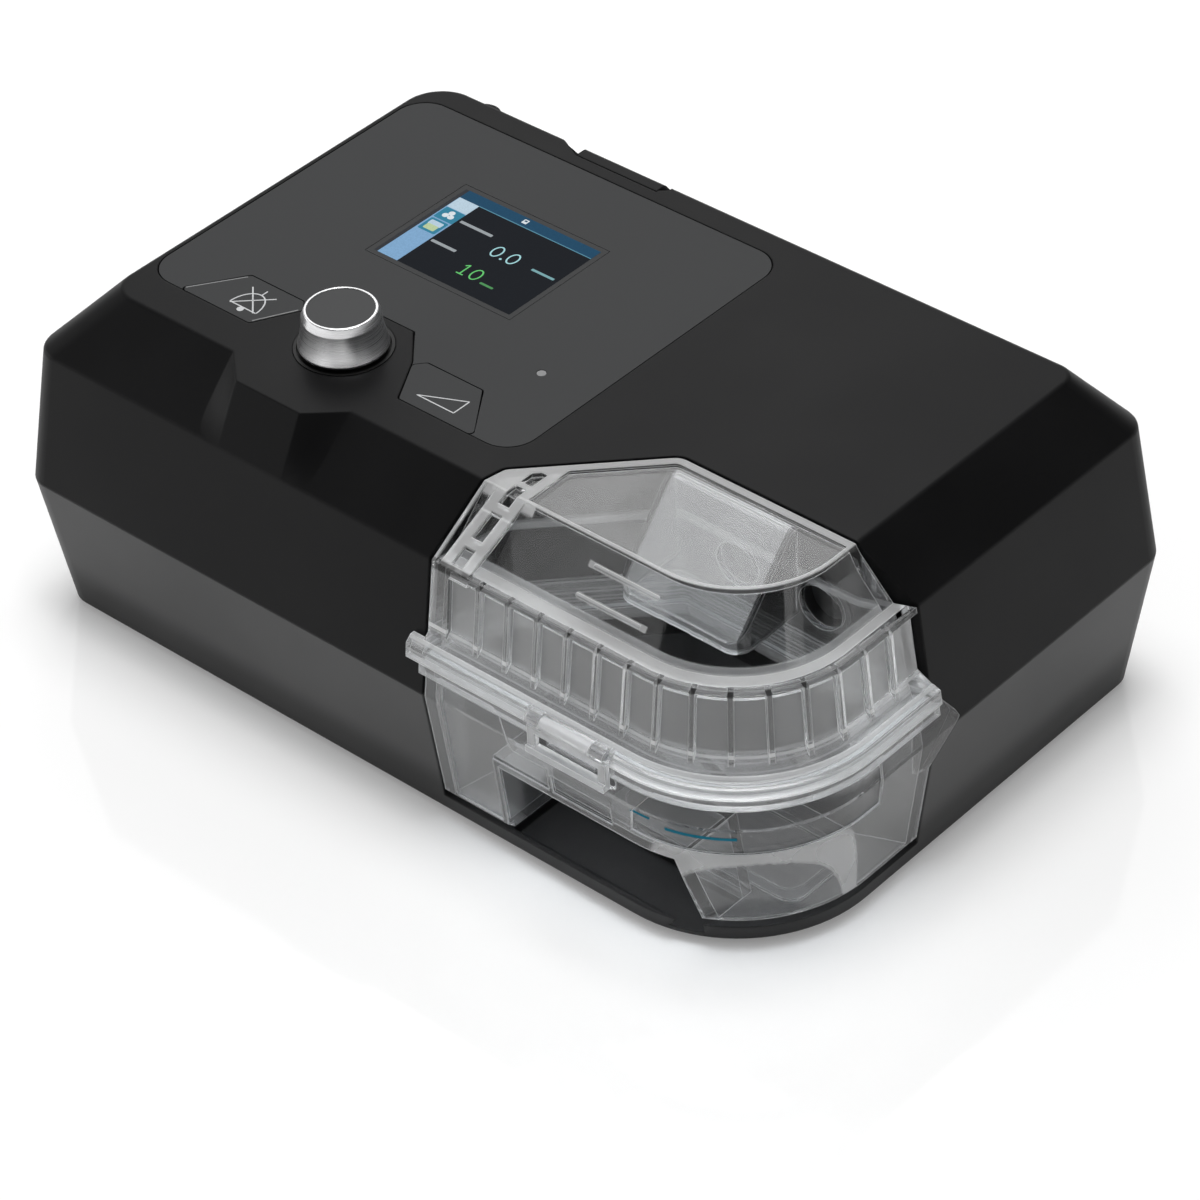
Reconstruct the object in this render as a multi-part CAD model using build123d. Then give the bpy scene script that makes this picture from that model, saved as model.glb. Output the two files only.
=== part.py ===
from build123d import *
import os
from math import cos, sin, radians, degrees, pi

# Bedside breathing-therapy blower with a slide-in heated water chamber, in millimetres.
# Origin: floor level under the middle of the casing. +X is the user's right, -Y the front, +Z up.

# ------------------------------------------------------------------ casing
case_width = 265.0
case_depth = 170.0
foot_height = 2.5
belt_height = 41.7  # parting line, above the underside
shoulder_height = 83.7  # where the upper walls turn into the bevels
case_height = 100.1
base_lean = 5.0  # how far the lower walls lean in towards the underside
side_lean = 4.5  # lean of the upper side and back walls up to the shoulder
front_lean = 5.4
side_bevel = 14.8  # sideways reach of the bevels above the shoulder
front_bevel = 17.6
back_bevel = 12.7
corner_radius = 8.7
top_corner_radius = 12.0  # back left corner of the top face
top_right_radius = 6.0
smallest_corner = 0.8
edge_radius = 1.5  # softening of the shoulder and of the top face's edge
wall = 2.6
top_skin = 3.2
floor_skin = 2.6
lip_height = 2.5
lip_gap = 0.15
screw_inset = 17.0  # case screws, in from the casing's sides
boss_radius = 4.0
boss_bore = 1.25
screw_seat_drop = 6.0  # the screw heads bear this far under the parting line
screw_hole = 1.7
foot_radius = 6.0
foot_seat = 0.8
foot_side_inset = 30.0
foot_end_inset = 18.0

# ------------------------------------------------------------------ chamber bay
bay_width = 114.0  # from the bay's front left edge to the casing's right side
bay_front_run = 30.0  # the left wall's length from the front
bay_left_slant = 5.5
bay_diagonal = 32.0
bay_back_to_side = 18.5
bay_side_rise = 9.0
bay_corner_radius = 42.0  # rounded front right corner of casing and chamber
bay_shoulder_radius = 38.0
bay_top_radius = 29.5
bay_floor_height = 4.7
chamber_gap = 0.9
ear_depth = 6.0
ear_reach = 9.8
ear_top = 48.1
ear_low = 32.5

# ------------------------------------------------------------------ water tub and lid
tub_wall = 2.2
tub_floor = 2.2
rim_height = 53.7  # tub rim above the underside
rim_flange = 3.4
flange_reach = 3.2
flange_chamfer = 1.6
flange_overhang = 3.2  # the flange's left end laps over the casing's front
lid_flange = 6.0
seam_gap = 0.3
shelf_height = 4.0
lid_wall = 2.0
rib_depth = 1.8
rib_width = 1.5
rib_root = 2.5  # how far a rib's middle lies inside the wall
rib_first = 17.7  # from the bay's left edge to the first rib
rib_pitch = 9.85
rib_slot_height = 2.3  # shallow slot between the rib heads, under the ledge
rib_slot_depth = 0.8
post_width = 7.6  # smooth post at the lid's left front corner
ledge_width = 5.5
ledge_thickness = 1.8
rim_band = 2.3  # raised band round the lid's top face
rim_step = 0.6
grip_ridge_length = 21.0
grip_ridge_radius = 0.5
finger_left = 24.0  # from the bay's left edge to the finger opening
finger_length = 58.5
finger_top = 29.0
finger_depth = 19.0
finger_slant = 5.0
finger_floor = 1.6
latch_left = 39.3
latch_width = 26.2
latch_pin_drop = 3.4  # from the flange's top down to the pin
latch_drop = 10.7  # from the pin down to the hasp's lower edge
latch_bar = 2.4  # side bars of the hasp's window
latch_foot = 2.1
latch_window = 4.3
latch_thickness = 1.8
latch_barrel = 1.9
latch_ear = 4.5
latch_pin_radius = 1.0
leg_border = 6.5  # plain border left of the recessed panel on the tub's left leg
pillar_left = 65.0  # from the bay's left edge to the pillar beside the latch
window_left = 71.4  # lower left corner of the tub's sunken window
window_slant = 6.9
window_low = 33.7
window_depth = 0.7
slot_depth = 1.1
heater_from_left = 69.0  # from the bay's left edge to the middle of the heater
heater_length = 62.0
heater_depth = 26.0
heater_radius = 5.0
heater_seat = 1.2
seal_width = 1.3
seal_inset = 0.55
frame_left = 4.3  # raised ladder frame beside the lid's left edge
frame_lean = 5.3  # its sideways lean over the bevel
frame_width = 9.7
frame_skin = 1.2
ladder_cell_count = 5
ladder_pitch = 7.9
ladder_cell_length = 6.0
ladder_cell_width = 3.7
chute_left = 37.0  # splash chute, from the bay's left edge
chute_width = 41.0
chute_reach = 23.4
chute_low_height = 73.4  # where its sloping roof ends
chute_lip = 3.2
chute_wall = 1.6
chute_corner = 5.0
chute_roof_start = 2.0
fin_thickness = 0.9  # the fin on the lid's left edge
air_port_radius = 6.6
port_height = 75.5
port_out_from_left = 57.5  # from the bay's left edge to the port inside the splash chute
port_side_gap = 0.5  # from the inlet duct's flange to where the bay's back wall turns

# ------------------------------------------------------------------ control panel
panel_inset_left = 21.0
panel_over_bay = 3.5
panel_front_inset = 35.0
panel_back_inset = 25.5
panel_thickness = 1.6
panel_radius = 9.0
panel_gap = 0.35
island_front = 27.0
island_middle = 19.0
island_back = 10.0
screen_width = 49.4
screen_depth = 37.0
module_border = 4.4  # display module's metal frame round the screen
module_thickness = 3.4
screen_centre_y = 14.0
lens_border = 1.6
button_outer = 53.5
button_back_outer = 42.0
button_back_inner = 22.5
button_depth = 16.0
button_travel = 0.8
switch_from_centre = 37.0
switch_height = 3.5
knob_from_panel_front = 8.0
knob_base_radius = 12.3
knob_top_radius = 10.2
knob_height = 11.6
knob_travel = 1.0
knob_rest = 0.6  # the knob's underside above the panel
shaft_radius = 3.0
running_gap = 0.05
board_drop = 9.5
board_thickness = 1.6
board_screw_radius = 1.05
encoder_width = 12.0
encoder_nose = 3.9

# ------------------------------------------------------------------ air path
outlet_x = -92.0
outlet_height = 65.5
outlet_radius = 11.0
outlet_bore = 9.2
outlet_proud = 3.0
outlet_root_step = 1.2  # the thicker root that fills the hole in the well's floor
outlet_root_proud = 1.5
outlet_collar = 4.0
outlet_collar_step = 2.5
outlet_well_gap = 5.0  # ring of room round the nozzle for a hose cuff
outlet_well_depth = 12.0
duct_radius = 8.5
duct_wall = 1.3
duct_bend = 10.5
duct_flange = 1.6
mount_low_height = 9.5  # blower mounts, above the underside
mount_height = 4.0
mount_radius = 5.0
volute_radius = 38.0
volute_half_height = 18.0
shell_wall = 1.8
impeller_radius = 32.0
impeller_height = 11.0
hub_radius = 6.0
blade_count = 11
motor_radius = 22.0
motor_height = 12.0
motor_shaft_radius = 2.0
filter_left = -56.5
filter_width = 29.0
filter_low = 57.0
filter_pocket_depth = 14.0
filter_slots = 4
filter_slot_pitch = 5.0
lug_radius = 5.2  # rounded lug at the back edge, over the air outlet
lug_proud = 1.3

# ------------------------------------------------------------------ power and storage
main_board_height = 10.5  # above the underside
power_x = -24.0
power_height = 17.0
power_width = 14.0
card_x = -78.0
card_height = 16.3
card_width = 24.0
card_length = 32.0
card_thickness = 2.1

# ------------------------------------------------------------------ derived heights and places
base_z = foot_height
belt_z = base_z + belt_height
shoulder_z = base_z + shoulder_height
top_z = base_z + case_height
bay_left = case_width / 2 - bay_width
bay_wall_x = bay_left + bay_left_slant
bay_turn_y = -case_depth / 2 + bay_front_run
bay_back_y = bay_turn_y + bay_diagonal
bay_floor_z = base_z + bay_floor_height
tub_low_z = bay_floor_z + seam_gap
rim_z = base_z + rim_height
lid_low_z = rim_z + seam_gap
flange_top_z = lid_low_z + lid_flange
shelf_top_z = flange_top_z + shelf_height
shoulder_y = -case_depth / 2 + front_lean  # front ends of the bevel, below and above
bevel_end_y = shoulder_y + front_bevel
back_top_y = case_depth / 2 - side_lean - back_bevel
chute_low_z = base_z + chute_low_height
latch_low_z = flange_top_z - latch_pin_drop - latch_drop
panel_left = -case_width / 2 + panel_inset_left
panel_right = bay_left + panel_over_bay
panel_centre = (panel_left + panel_right) / 2
panel_front = -case_depth / 2 + panel_front_inset
panel_back = case_depth / 2 - panel_back_inset
panel_floor_z = top_z - panel_thickness
knob_y = panel_front + knob_from_panel_front
cover_under_z = top_z - top_skin
board_z = top_z - board_drop
port_z = base_z + port_height
port_out_x = bay_left + port_out_from_left
port_in_x = case_width / 2 - bay_back_to_side - duct_radius - duct_flange - port_side_gap
outlet_z = base_z + outlet_height
outlet_well_y = case_depth / 2 - side_lean - outlet_well_depth
outlet_wall_y = outlet_well_y - wall
outlet_root_radius = outlet_radius + outlet_root_step
outlet_well_radius = outlet_radius + outlet_well_gap
floor_z = base_z + floor_skin
catch_z = latch_low_z + latch_foot + 0.5
main_board_z = base_z + main_board_height
power_z = base_z + power_height
card_z = base_z + card_height
mount_low_z = base_z + mount_low_height
volute_low_z = mount_low_z + mount_height
volute_split_z = volute_low_z + volute_half_height
volute_top_z = volute_split_z + volute_half_height
volute_z = volute_split_z + 1.0
riser_y = bay_back_y + wall + duct_bend + 1.8
volute_end_y = riser_y + duct_bend + 1.8
blower_x = port_in_x - volute_radius + 5
throat_reach = volute_radius - 5 - duct_radius - duct_flange
blower_y = volute_end_y + (volute_radius**2 - throat_reach**2) ** 0.5 + 1


# ------------------------------------------------------------------ small helpers
def tube(outer, inner, height):
    """An upright tube standing on its origin."""
    return cylinder(outer, height) - Pos(0, 0, -1) * cylinder(inner, height + 2)


def cylinder(radius, height):
    return Cylinder(radius, height, align=(Align.CENTER, Align.CENTER, Align.MIN))


def slab(low, high):
    """A box between two opposite corners."""
    size = [b - a for a, b in zip(low, high)]
    middle = [(a + b) / 2 for a, b in zip(low, high)]
    return Pos(*middle) * Box(*size)


def plate(face, low, high):
    """A plan outline raised between two heights."""
    return Pos(0, 0, low) * extrude(face, amount=high - low)


def side_prism(points, x_low, x_high):
    """An outline of (y, z) points carried along X."""
    face = make_face(Polyline(*[(0, y, z) for y, z in points], close=True))
    return Pos(x_low, 0, 0) * extrude(face, amount=x_high - x_low, dir=(1, 0, 0))


def front_prism(points, y_low, y_high):
    """An outline of (x, z) points carried along Y."""
    face = make_face(Polyline(*[(x, 0, z) for x, z in points], close=True))
    return Pos(0, y_low, 0) * extrude(face, amount=y_high - y_low, dir=(0, 1, 0))


def along_y(radius, start, end):
    """A cylinder along +Y between two points' y values, at start's x and z."""
    x, y, z = start
    return Pos(x, y, z) * Rot(-90, 0, 0) * cylinder(radius, end - y)


# ------------------------------------------------------------------ the casing's faceted form
def case_levels(inset):
    """The casing's four outlines from underside to top: height, side, front and back reach, and the radii
    of the front left, front right, back right and back left corners, all moved inwards by inset."""
    side = case_width / 2 - inset
    depth = case_depth / 2 - inset
    small = corner_radius - inset
    bay = bay_corner_radius - inset
    shoulder_side = side - side_lean
    bevel_creep = 0.6 * inset  # an inner bevel meets the inner top nearer the outside
    return [
        (base_z, side - base_lean, depth - base_lean, depth - base_lean, small, bay, small, small),
        (belt_z, side, depth, depth, small, bay, small, small),
        (shoulder_z - 0.4 * inset, shoulder_side, depth - front_lean, depth - side_lean,
         small, bay_shoulder_radius - inset, small, small),
        (top_z - inset, shoulder_side - side_bevel + bevel_creep,
         depth - front_lean - front_bevel + bevel_creep, depth - side_lean - back_bevel + bevel_creep,
         small, bay_top_radius - inset, top_right_radius - inset, top_corner_radius - inset),
    ]


def outline_at(height, inset):
    """The casing's outline at any height, between the two nearest levels."""
    levels = case_levels(inset)
    for low, high in zip(levels, levels[1:]):
        if height <= high[0]:
            break
    share = (height - low[0]) / (high[0] - low[0])
    return [a + (b - a) * share for a, b in zip(low, high)]


def section(height, inset=0.0, shrink=0.0):
    """The casing's plan at a height, as a flat face there: its walls are moved inwards by inset, and the
    plan is then made smaller by shrink."""
    _, *reaches = outline_at(height, inset)
    side, front, back, *corner_radii = [reach - shrink for reach in reaches]
    corners = [(-side, -front), (side, -front), (side, back), (-side, back)]
    radii = [max(radius, smallest_corner) for radius in corner_radii]
    return Pos(0, 0, height) * make_face(FilletPolyline(*corners, radius=radii, close=True))


def form(*stations):
    """A faceted block through stations, each with a section's height, inset and shrink."""
    return loft([section(*station) for station in stations], ruled=True)


def casing_block(low, high, inset=0.0):
    """The casing's own form between two heights, moved inwards by inset."""
    between = [level[0] for level in case_levels(inset) if low + 0.01 < level[0] < high - 0.01]
    return form(*[(height, inset) for height in [low, *between, high]])


# ------------------------------------------------------------------ the bay's plan and the chamber's ear
def bay_plan(grow=0.0):
    """The bay from above. Its front and right sides run out past the casing."""
    beyond = 20.0
    front = -case_depth / 2 - beyond
    right = case_width / 2 + beyond
    slant = bay_left_slant / bay_front_run
    side_slope = bay_side_rise / 22.0
    back_right = case_width / 2 - bay_back_to_side
    points = [
        (bay_left - slant * beyond, front),
        (bay_wall_x, bay_turn_y),
        (bay_wall_x + bay_diagonal, bay_back_y),
        (back_right, bay_back_y),
        (right, bay_back_y + (right - back_right) * side_slope),
        (right, front),
    ]
    face = make_face(FilletPolyline(*points, radius=[0, 4.0, 6.0, 4.0, 0, 0], close=True))
    return offset(face, amount=grow, kind=Kind.INTERSECTION) if grow else face


def ear_block(grow=0.0):
    """The grip ear at the chamber's right rear, as a prism across the casing's side wall."""
    root = bay_back_y
    tip = bay_back_y + bay_side_rise + ear_reach - 1.5
    outline = [(root, rim_z + grow), (root + 9.4 + grow, rim_z + grow), (tip - 1.6 + grow, ear_top + grow),
               (tip + grow, ear_top - 2.9), (root + 4 + grow, ear_low - grow), (root, ear_low - grow)]
    return side_prism(outline, case_width / 2 - ear_depth - grow, case_width / 2 + 6)


def bay_block(low, high, grow=0.0):
    """All that the bay takes out of the casing between two heights, walls included if grown."""
    ear = ear_block(grow) & slab((0, -case_depth, low), (case_width, case_depth, high))
    return plate(bay_plan(grow), low, high) + ear


def chamber_block(stations, plan_inset=0.0):
    """A block in the casing's form, cut to the chamber's plan."""
    low, high = stations[0][0], stations[-1][0]
    return form(*stations) & plate(bay_plan(-(chamber_gap + plan_inset)), low, high)


def chamber_ring(stations, plan_inset, thickness):
    """The wall of a chamber block, of even thickness."""
    inner = [(height, inset + thickness) for height, inset in stations]
    return chamber_block(stations, plan_inset) - chamber_block(inner, plan_inset + thickness)


# ------------------------------------------------------------------ panel outlines
def island_plan(grow=0.0):
    """The cover's flush island that carries the knob, between the two buttons."""
    half = [(island_front + grow, panel_front - 1), (island_front + grow, panel_front),
            (island_middle + grow, panel_front + 14), (island_back + grow, panel_front + 24 + grow)]
    right = [(panel_centre + x, y) for x, y in half]
    left = [(panel_centre - x, y) for x, y in reversed(half)]
    return make_face(Polyline(*right, *left, close=True))


def button_plan(side, grow=0.0):
    """One button's outline: side is -1 for mute, 1 for ramp."""
    gap = panel_gap - grow
    points = [(island_front + gap, panel_front - grow), (island_middle + 0.6 + gap, panel_front + 13),
              (button_back_inner, panel_front + button_depth + grow),
              (button_back_outer + grow, panel_front + button_depth + grow),
              (button_outer + grow, panel_front - grow)]
    outline = [(panel_centre + side * x, y) for x, y in points]
    return make_face(FilletPolyline(*outline, radius=1.2, close=True))


def panel_plan(grow=0.0):
    width = panel_right - panel_left + 2 * grow
    depth = panel_back - panel_front + 2 * grow
    return Pos(panel_centre, (panel_back + panel_front) / 2) * RectangleRounded(width, depth, panel_radius)


# ------------------------------------------------------------------ casing shells
def soft_casing():
    """The upper casing's outside, with its shoulder and top edges rounded."""
    block = casing_block(belt_z, top_z)
    edges = [edge for edge in block.edges() if edge.bounding_box().min.Z > shoulder_z - 0.1
             and edge.bounding_box().size.Z < 0.1]
    return fillet(edges, edge_radius)


def knob_tab():
    """The brow that carries the knob island forward over the front bevel."""
    root, nose = 21.2, 11.5
    brow = front_bevel / 2  # half way out over the bevel
    top = [(-root, bevel_end_y + 8), (-root, bevel_end_y), (-nose, bevel_end_y - brow),
           (nose, bevel_end_y - brow), (root, bevel_end_y), (root, bevel_end_y + 8)]
    low = [(-root, shoulder_y + 8), (-root, shoulder_y + 0.2), (-nose, shoulder_y),
           (nose, shoulder_y), (root, shoulder_y + 0.2), (root, shoulder_y + 8)]
    faces = [Pos(panel_centre, 0, height) * make_face(Polyline(*points, close=True))
             for points, height in ((low, shoulder_z), (top, top_z))]
    return loft(faces, ruled=True)


def screw_places():
    side, depth = case_width / 2 - screw_inset, case_depth / 2 - screw_inset
    return [(-side, -depth), (-side, depth), (side, depth), (bay_left - 9.0, -depth)]


def foot_places():
    """The front right foot is set in from the rounded corner."""
    side, depth = case_width / 2 - foot_side_inset, case_depth / 2 - foot_end_inset
    return [(-side, -depth), (-side, depth), (side, depth), (side - 10.0, -depth + 14.0)]


def filter_zone(grow=0.0):
    """The block of the back wall that the filter cover fills."""
    return slab((filter_left - grow, back_top_y - 3.8 - grow, filter_low - grow),
                (filter_left + filter_width + grow, case_depth, case_height + 20))


def top_cover():
    outer = soft_casing() + knob_tab()
    cavity = casing_block(belt_z - 1, cover_under_z, wall)
    cavity -= bay_block(belt_z - 2, top_z, wall)
    cavity -= along_y(outlet_well_radius + 2, (outlet_x, outlet_wall_y, outlet_z), case_depth)
    pocket_front = case_depth / 2 - side_lean - filter_pocket_depth
    cavity -= slab((filter_left - 3, pocket_front - 2, filter_low - 3),
                   (filter_left + filter_width + 3, case_depth, top_z))
    cavity -= slab((filter_left - 13, back_top_y - 7, top_z - 17), (filter_left, case_depth, top_z))
    cover = outer - cavity
    lug = Pos(outlet_x, back_top_y - lug_radius + lug_proud, cover_under_z)
    cover += lug * cylinder(lug_radius, top_skin - 0.4)
    # rebate for the lower shell's lip
    rebate_top = belt_z + lip_height + lip_gap
    rebate = casing_block(belt_z - 1, rebate_top, wall / 2 - 0.1)
    rebate -= casing_block(belt_z - 1, rebate_top, wall + 1) + bay_block(belt_z - 2, top_z, wall)
    cover -= rebate
    cover -= bay_block(belt_z - 1, top_z + 1)
    # seat for the faceplate, with the knob island left standing
    cover -= plate(panel_plan(0.25) - island_plan(), panel_floor_z, top_z + 1)
    for side in (-1, 1):
        cover -= plate(button_plan(side, panel_gap - 0.05), cover_under_z - 1, top_z + 1)
    cover -= Pos(panel_centre, screen_centre_y, top_z - 5) * Box(screen_width, screen_depth, 20)
    cover -= Pos(panel_centre, knob_y, top_z - knob_travel) * cylinder(knob_base_radius + 1.3, 3)
    cover -= Pos(panel_centre, knob_y, top_z - 8) * cylinder(encoder_nose + 0.3, 10)
    # filter pocket, air slots behind it, and the finger notches beside its cover
    cover -= filter_zone(0.25) - casing_block(belt_z, top_z - 2.4, 2.4)
    cover -= slab((filter_left + 1.5, pocket_front, filter_low + 2),
                  (filter_left + filter_width - 1.5, case_depth, top_z - 6))
    for row in range(filter_slots):
        z = filter_low + 7 + row * filter_slot_pitch * 1.5
        cover -= Pos(filter_left + filter_width / 2, pocket_front - 1, z) * Box(filter_width - 8, 6, 3)
    notch = [(filter_left - 10.2, back_top_y + 1), (filter_left - 0.4, back_top_y - 4),
             (filter_left - 0.2, back_top_y + 14), (filter_left - 9, back_top_y + 14)]
    cover -= plate(make_face(Polyline(*notch, close=True)), top_z - 14, top_z + 1)
    right = filter_left + filter_width
    nick = [(right - 0.2, back_top_y - 3.6), (right + 2.6, back_top_y - 1.2), (right + 1.0, back_top_y + 6),
            (right - 0.2, back_top_y + 6)]
    cover -= plate(make_face(Polyline(*nick, close=True)), top_z - 9, top_z + 1)
    # well round the air outlet, so that a hose cuff can go over it
    cover -= along_y(outlet_well_radius, (outlet_x, outlet_well_y, outlet_z), case_depth)
    cover -= along_y(outlet_root_radius + 0.1, (outlet_x, outlet_wall_y - 1, outlet_z), case_depth)
    # air ports through the bay's back wall
    for x in (port_out_x, port_in_x):
        cover -= along_y(air_port_radius + 1.6, (x, bay_back_y - 1, port_z), bay_back_y + wall + 1)
    # bosses for the case screws and for the control board
    for x, y in screw_places():
        boss_top = casing_block(belt_z - 1, cover_under_z + 0.5, wall - 0.5)
        boss = Pos(x, y, belt_z) * cylinder(boss_radius, case_height)
        cover += boss & boss_top
        cover -= Pos(x, y, belt_z - 1) * cylinder(boss_bore, 13)
    for x, y in board_screw_places():
        cover += Pos(x, y, board_z) * tube(3.0, 1.1, board_drop - top_skin + 0.2)
    return cover


def bottom_case():
    case = casing_block(base_z, belt_z)
    cavity = casing_block(floor_z, belt_z + 1, wall)
    cavity -= bay_block(base_z, belt_z + 2, wall)
    for x, y in screw_places():
        cavity -= Pos(x, y, base_z) * cylinder(boss_radius, belt_height)
    case -= cavity
    lip_top = belt_z + lip_height
    lip = casing_block(belt_z - 3, lip_top, wall / 2 - 0.1 + lip_gap)
    lip -= casing_block(belt_z - 3.5, lip_top + 1, wall) + bay_block(base_z, belt_z + 9, wall + lip_gap)
    case += lip
    case -= bay_block(bay_floor_z, belt_z + 9)
    # finger recess under the chamber's front
    left = bay_left + finger_left
    right = left + finger_length + finger_slant - 1
    low, high = base_z + finger_floor, bay_floor_z + 1
    run = [(left, high), (left, low), (right, low), (right, high)]
    recess_back = -case_depth / 2 + base_lean + finger_depth
    case -= front_prism(run, -case_depth / 2 + base_lean + 1.2, recess_back)
    # heater seat, feet seats, screw holes
    case -= plate(heater_plan(0.3), base_z + heater_seat, bay_floor_z + 1)
    for x, y in foot_places():
        case -= Pos(x, y, base_z - 1) * cylinder(foot_radius + 0.2, 1 + foot_seat)
    for x, y in screw_places():
        case -= Pos(x, y, base_z - 1) * cylinder(screw_hole, belt_height + 9)
        case -= Pos(x, y, base_z - 1) * cylinder(2 * screw_hole, 1 + belt_height - screw_seat_drop)
    # power inlet and card slot in the back wall
    for x, z, half_width, half_height in ((power_x, power_z, power_width / 2 + 0.2, 6.2),
                                          (card_x, card_z, card_width / 2 + 1.2, 1.9)):
        case -= slab((x - half_width, case_depth / 2 - 12, z - half_height),
                     (x + half_width, case_depth, z + half_height))
    for x, y in main_board_screw_places():
        case += Pos(x, y, base_z + 1) * tube(3.2, 1.1, main_board_z - base_z - 1)
    for x, y in blower_mount_places():
        case += Pos(x, y, base_z + 1) * tube(mount_radius, 1.6, mount_low_z - base_z - 1)
    return case


def rubber_feet():
    return [Pos(x, y, 0) * cylinder(foot_radius, foot_height + foot_seat) for x, y in foot_places()]


def pan_head_screw(head_radius, head_height, shank_radius, length):
    """A screw standing head down on its origin."""
    socket = Pos(0, 0, -1) * cylinder(head_radius * 0.45, head_height * 0.5 + 1)
    return cylinder(head_radius, head_height) + cylinder(shank_radius, head_height + length) - socket


def case_screws():
    head_height = 2.2
    head_z = base_z + belt_height - screw_seat_drop - head_height
    screw = pan_head_screw(3.1, head_height, boss_bore - 0.03, 14)
    return [Pos(x, y, head_z) * screw for x, y in screw_places()]


# ------------------------------------------------------------------ control panel
def control_panel():
    face = panel_plan() - island_plan(panel_gap)
    for side in (-1, 1):
        face -= button_plan(side, panel_gap)
    face -= Pos(panel_centre, screen_centre_y) * display_plan(lens_border + 0.15)
    panel = plate(face, panel_floor_z, top_z)
    panel -= Pos(*sensor_place(), panel_floor_z - 1) * cylinder(1.4, 9)
    return panel


def sensor_place():
    return panel_right - 17.8, panel_front + 31.3


def sensor_lens():
    return Pos(*sensor_place(), panel_floor_z) * cylinder(1.3, panel_thickness - 0.1)


def display_plan(grow=0.0):
    """The screen's rectangle, grown on all sides."""
    return Rectangle(screen_width + 2 * grow, screen_depth + 2 * grow)


def display_lens():
    return plate(Pos(panel_centre, screen_centre_y) * display_plan(lens_border), panel_floor_z, top_z)


def display_module():
    centre = Pos(panel_centre, screen_centre_y)
    body = plate(centre * display_plan(module_border), cover_under_z - module_thickness, cover_under_z)
    glass = plate(centre * display_plan(-0.3), cover_under_z - 1, panel_floor_z - 0.3)
    return body + glass


def display_bracket():
    centre = Pos(panel_centre, screen_centre_y)
    low, high = board_z, cover_under_z - module_thickness
    outer = fillet(display_plan(module_border + 2.2).vertices(), 2)
    tray = plate(centre * outer, low, high)
    tray += plate(centre * (outer - display_plan(module_border + 0.2)), low, cover_under_z - 0.2)
    tray -= plate(centre * display_plan(-1.5), low + 1.2, high + 1)
    return tray - plate(centre * display_plan(-6.5), low - 1, high)


def button_cap(side):
    """A key cap with a keeper flange under the cover and a stem over its switch."""
    cap = plate(button_plan(side), cover_under_z - 0.6, top_z)
    cap += plate(button_plan(side, 1.0), cover_under_z - 1.6, cover_under_z - 0.3)
    x, y = switch_place(side)
    return cap + Pos(x, y, board_z + switch_height + button_travel + 0.15) * cylinder(2.2, 3)


def switch_place(side):
    return panel_centre + side * switch_from_centre, panel_front + button_depth / 2


def button_switches():
    """Two tactile switches on the control board, one under each button."""
    switches = []
    for side in (-1, 1):
        x, y = switch_place(side)
        switches.append(Pos(x, y, board_z) * (Pos(0, 0, 1.2) * Box(6, 6, 2.4) + cylinder(1.7, switch_height)))
    return switches


def board_outline():
    left, right = panel_left + 6, bay_left - 10.0
    return left, panel_front + 2, right, panel_back - 6


def board_screw_places():
    left, front, right, back = board_outline()
    return [(x, y) for x in (left + 5, right - 5) for y in (front + 18, back - 5)]


def control_board():
    left, front, right, back = board_outline()
    board = slab((left, front, board_z - board_thickness), (right, back, board_z))
    for x, y in board_screw_places():
        board -= Pos(x, y, board_z - 3) * cylinder(1.2, 9)
    return board


def board_screws():
    screws, head_height = [], 1.4
    for x, y in board_screw_places():
        screw = pan_head_screw(2 * board_screw_radius, head_height, board_screw_radius, 5)
        screws.append(Pos(x, y, board_z - board_thickness - head_height) * screw)
    return screws


# ------------------------------------------------------------------ knob
def knob_body():
    """Turned aluminium knob: a concave flare between a foot bead and a bright top rim."""
    low, high = knob_rest, knob_rest + knob_height
    foot, rim = knob_base_radius, knob_top_radius
    bead = (foot - 0.3, low + 1.6)
    neck = (rim - 0.35, high - 2.4)
    outline = Curve() + [
        Line((0, low), (foot - 0.8, low)),
        ThreePointArc((foot - 0.8, low), (foot, low + 0.8), bead),
        ThreePointArc(bead, (rim - 0.15, low + 5.4), neck),
        Polyline(neck, (rim, high - 2.0), (rim, high - 0.4), (rim - 0.4, high), (rim - 1.0, high),
                 (rim - 1.0, high - 0.8), (0, high - 0.8), (0, low)),
    ]
    profile = Plane.XZ * make_face(outline)
    knob = revolve(profile, Axis.Z)
    hollow = Pos(0, 0, low - 1) * tube(knob_base_radius - 2.0, 5.2, 5.0)
    knob -= hollow + Pos(0, 0, low - 1) * cylinder(shaft_radius + 0.02, 9.4)
    return Pos(panel_centre, knob_y, top_z) * knob


def knob_cap():
    high = knob_rest + knob_height
    disc = Pos(0, 0, high - 0.8) * cylinder(knob_top_radius - 1.05, 0.65)
    return Pos(panel_centre, knob_y, top_z) * disc


def knob_ring():
    ring = tube(knob_base_radius + 1.2, knob_base_radius + 0.35, knob_travel + 0.15)
    return Pos(panel_centre, knob_y, top_z - knob_travel) * ring


def encoder_body():
    height = board_drop - top_skin
    body = Pos(0, 0, height / 2) * Box(encoder_width, encoder_width, height)
    body += cylinder(encoder_nose, board_drop - panel_thickness)
    body -= Pos(0, 0, 2.2 - knob_travel) * cylinder(encoder_nose + 0.1, knob_travel + 2.4)
    body -= Pos(0, 0, 3) * cylinder(shaft_radius + running_gap, 20)
    corners = body.edges().filter_by(Axis.Z).group_by(SortBy.LENGTH)[-1]
    return Pos(panel_centre, knob_y, board_z) * fillet(corners, 0.6)


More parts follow.
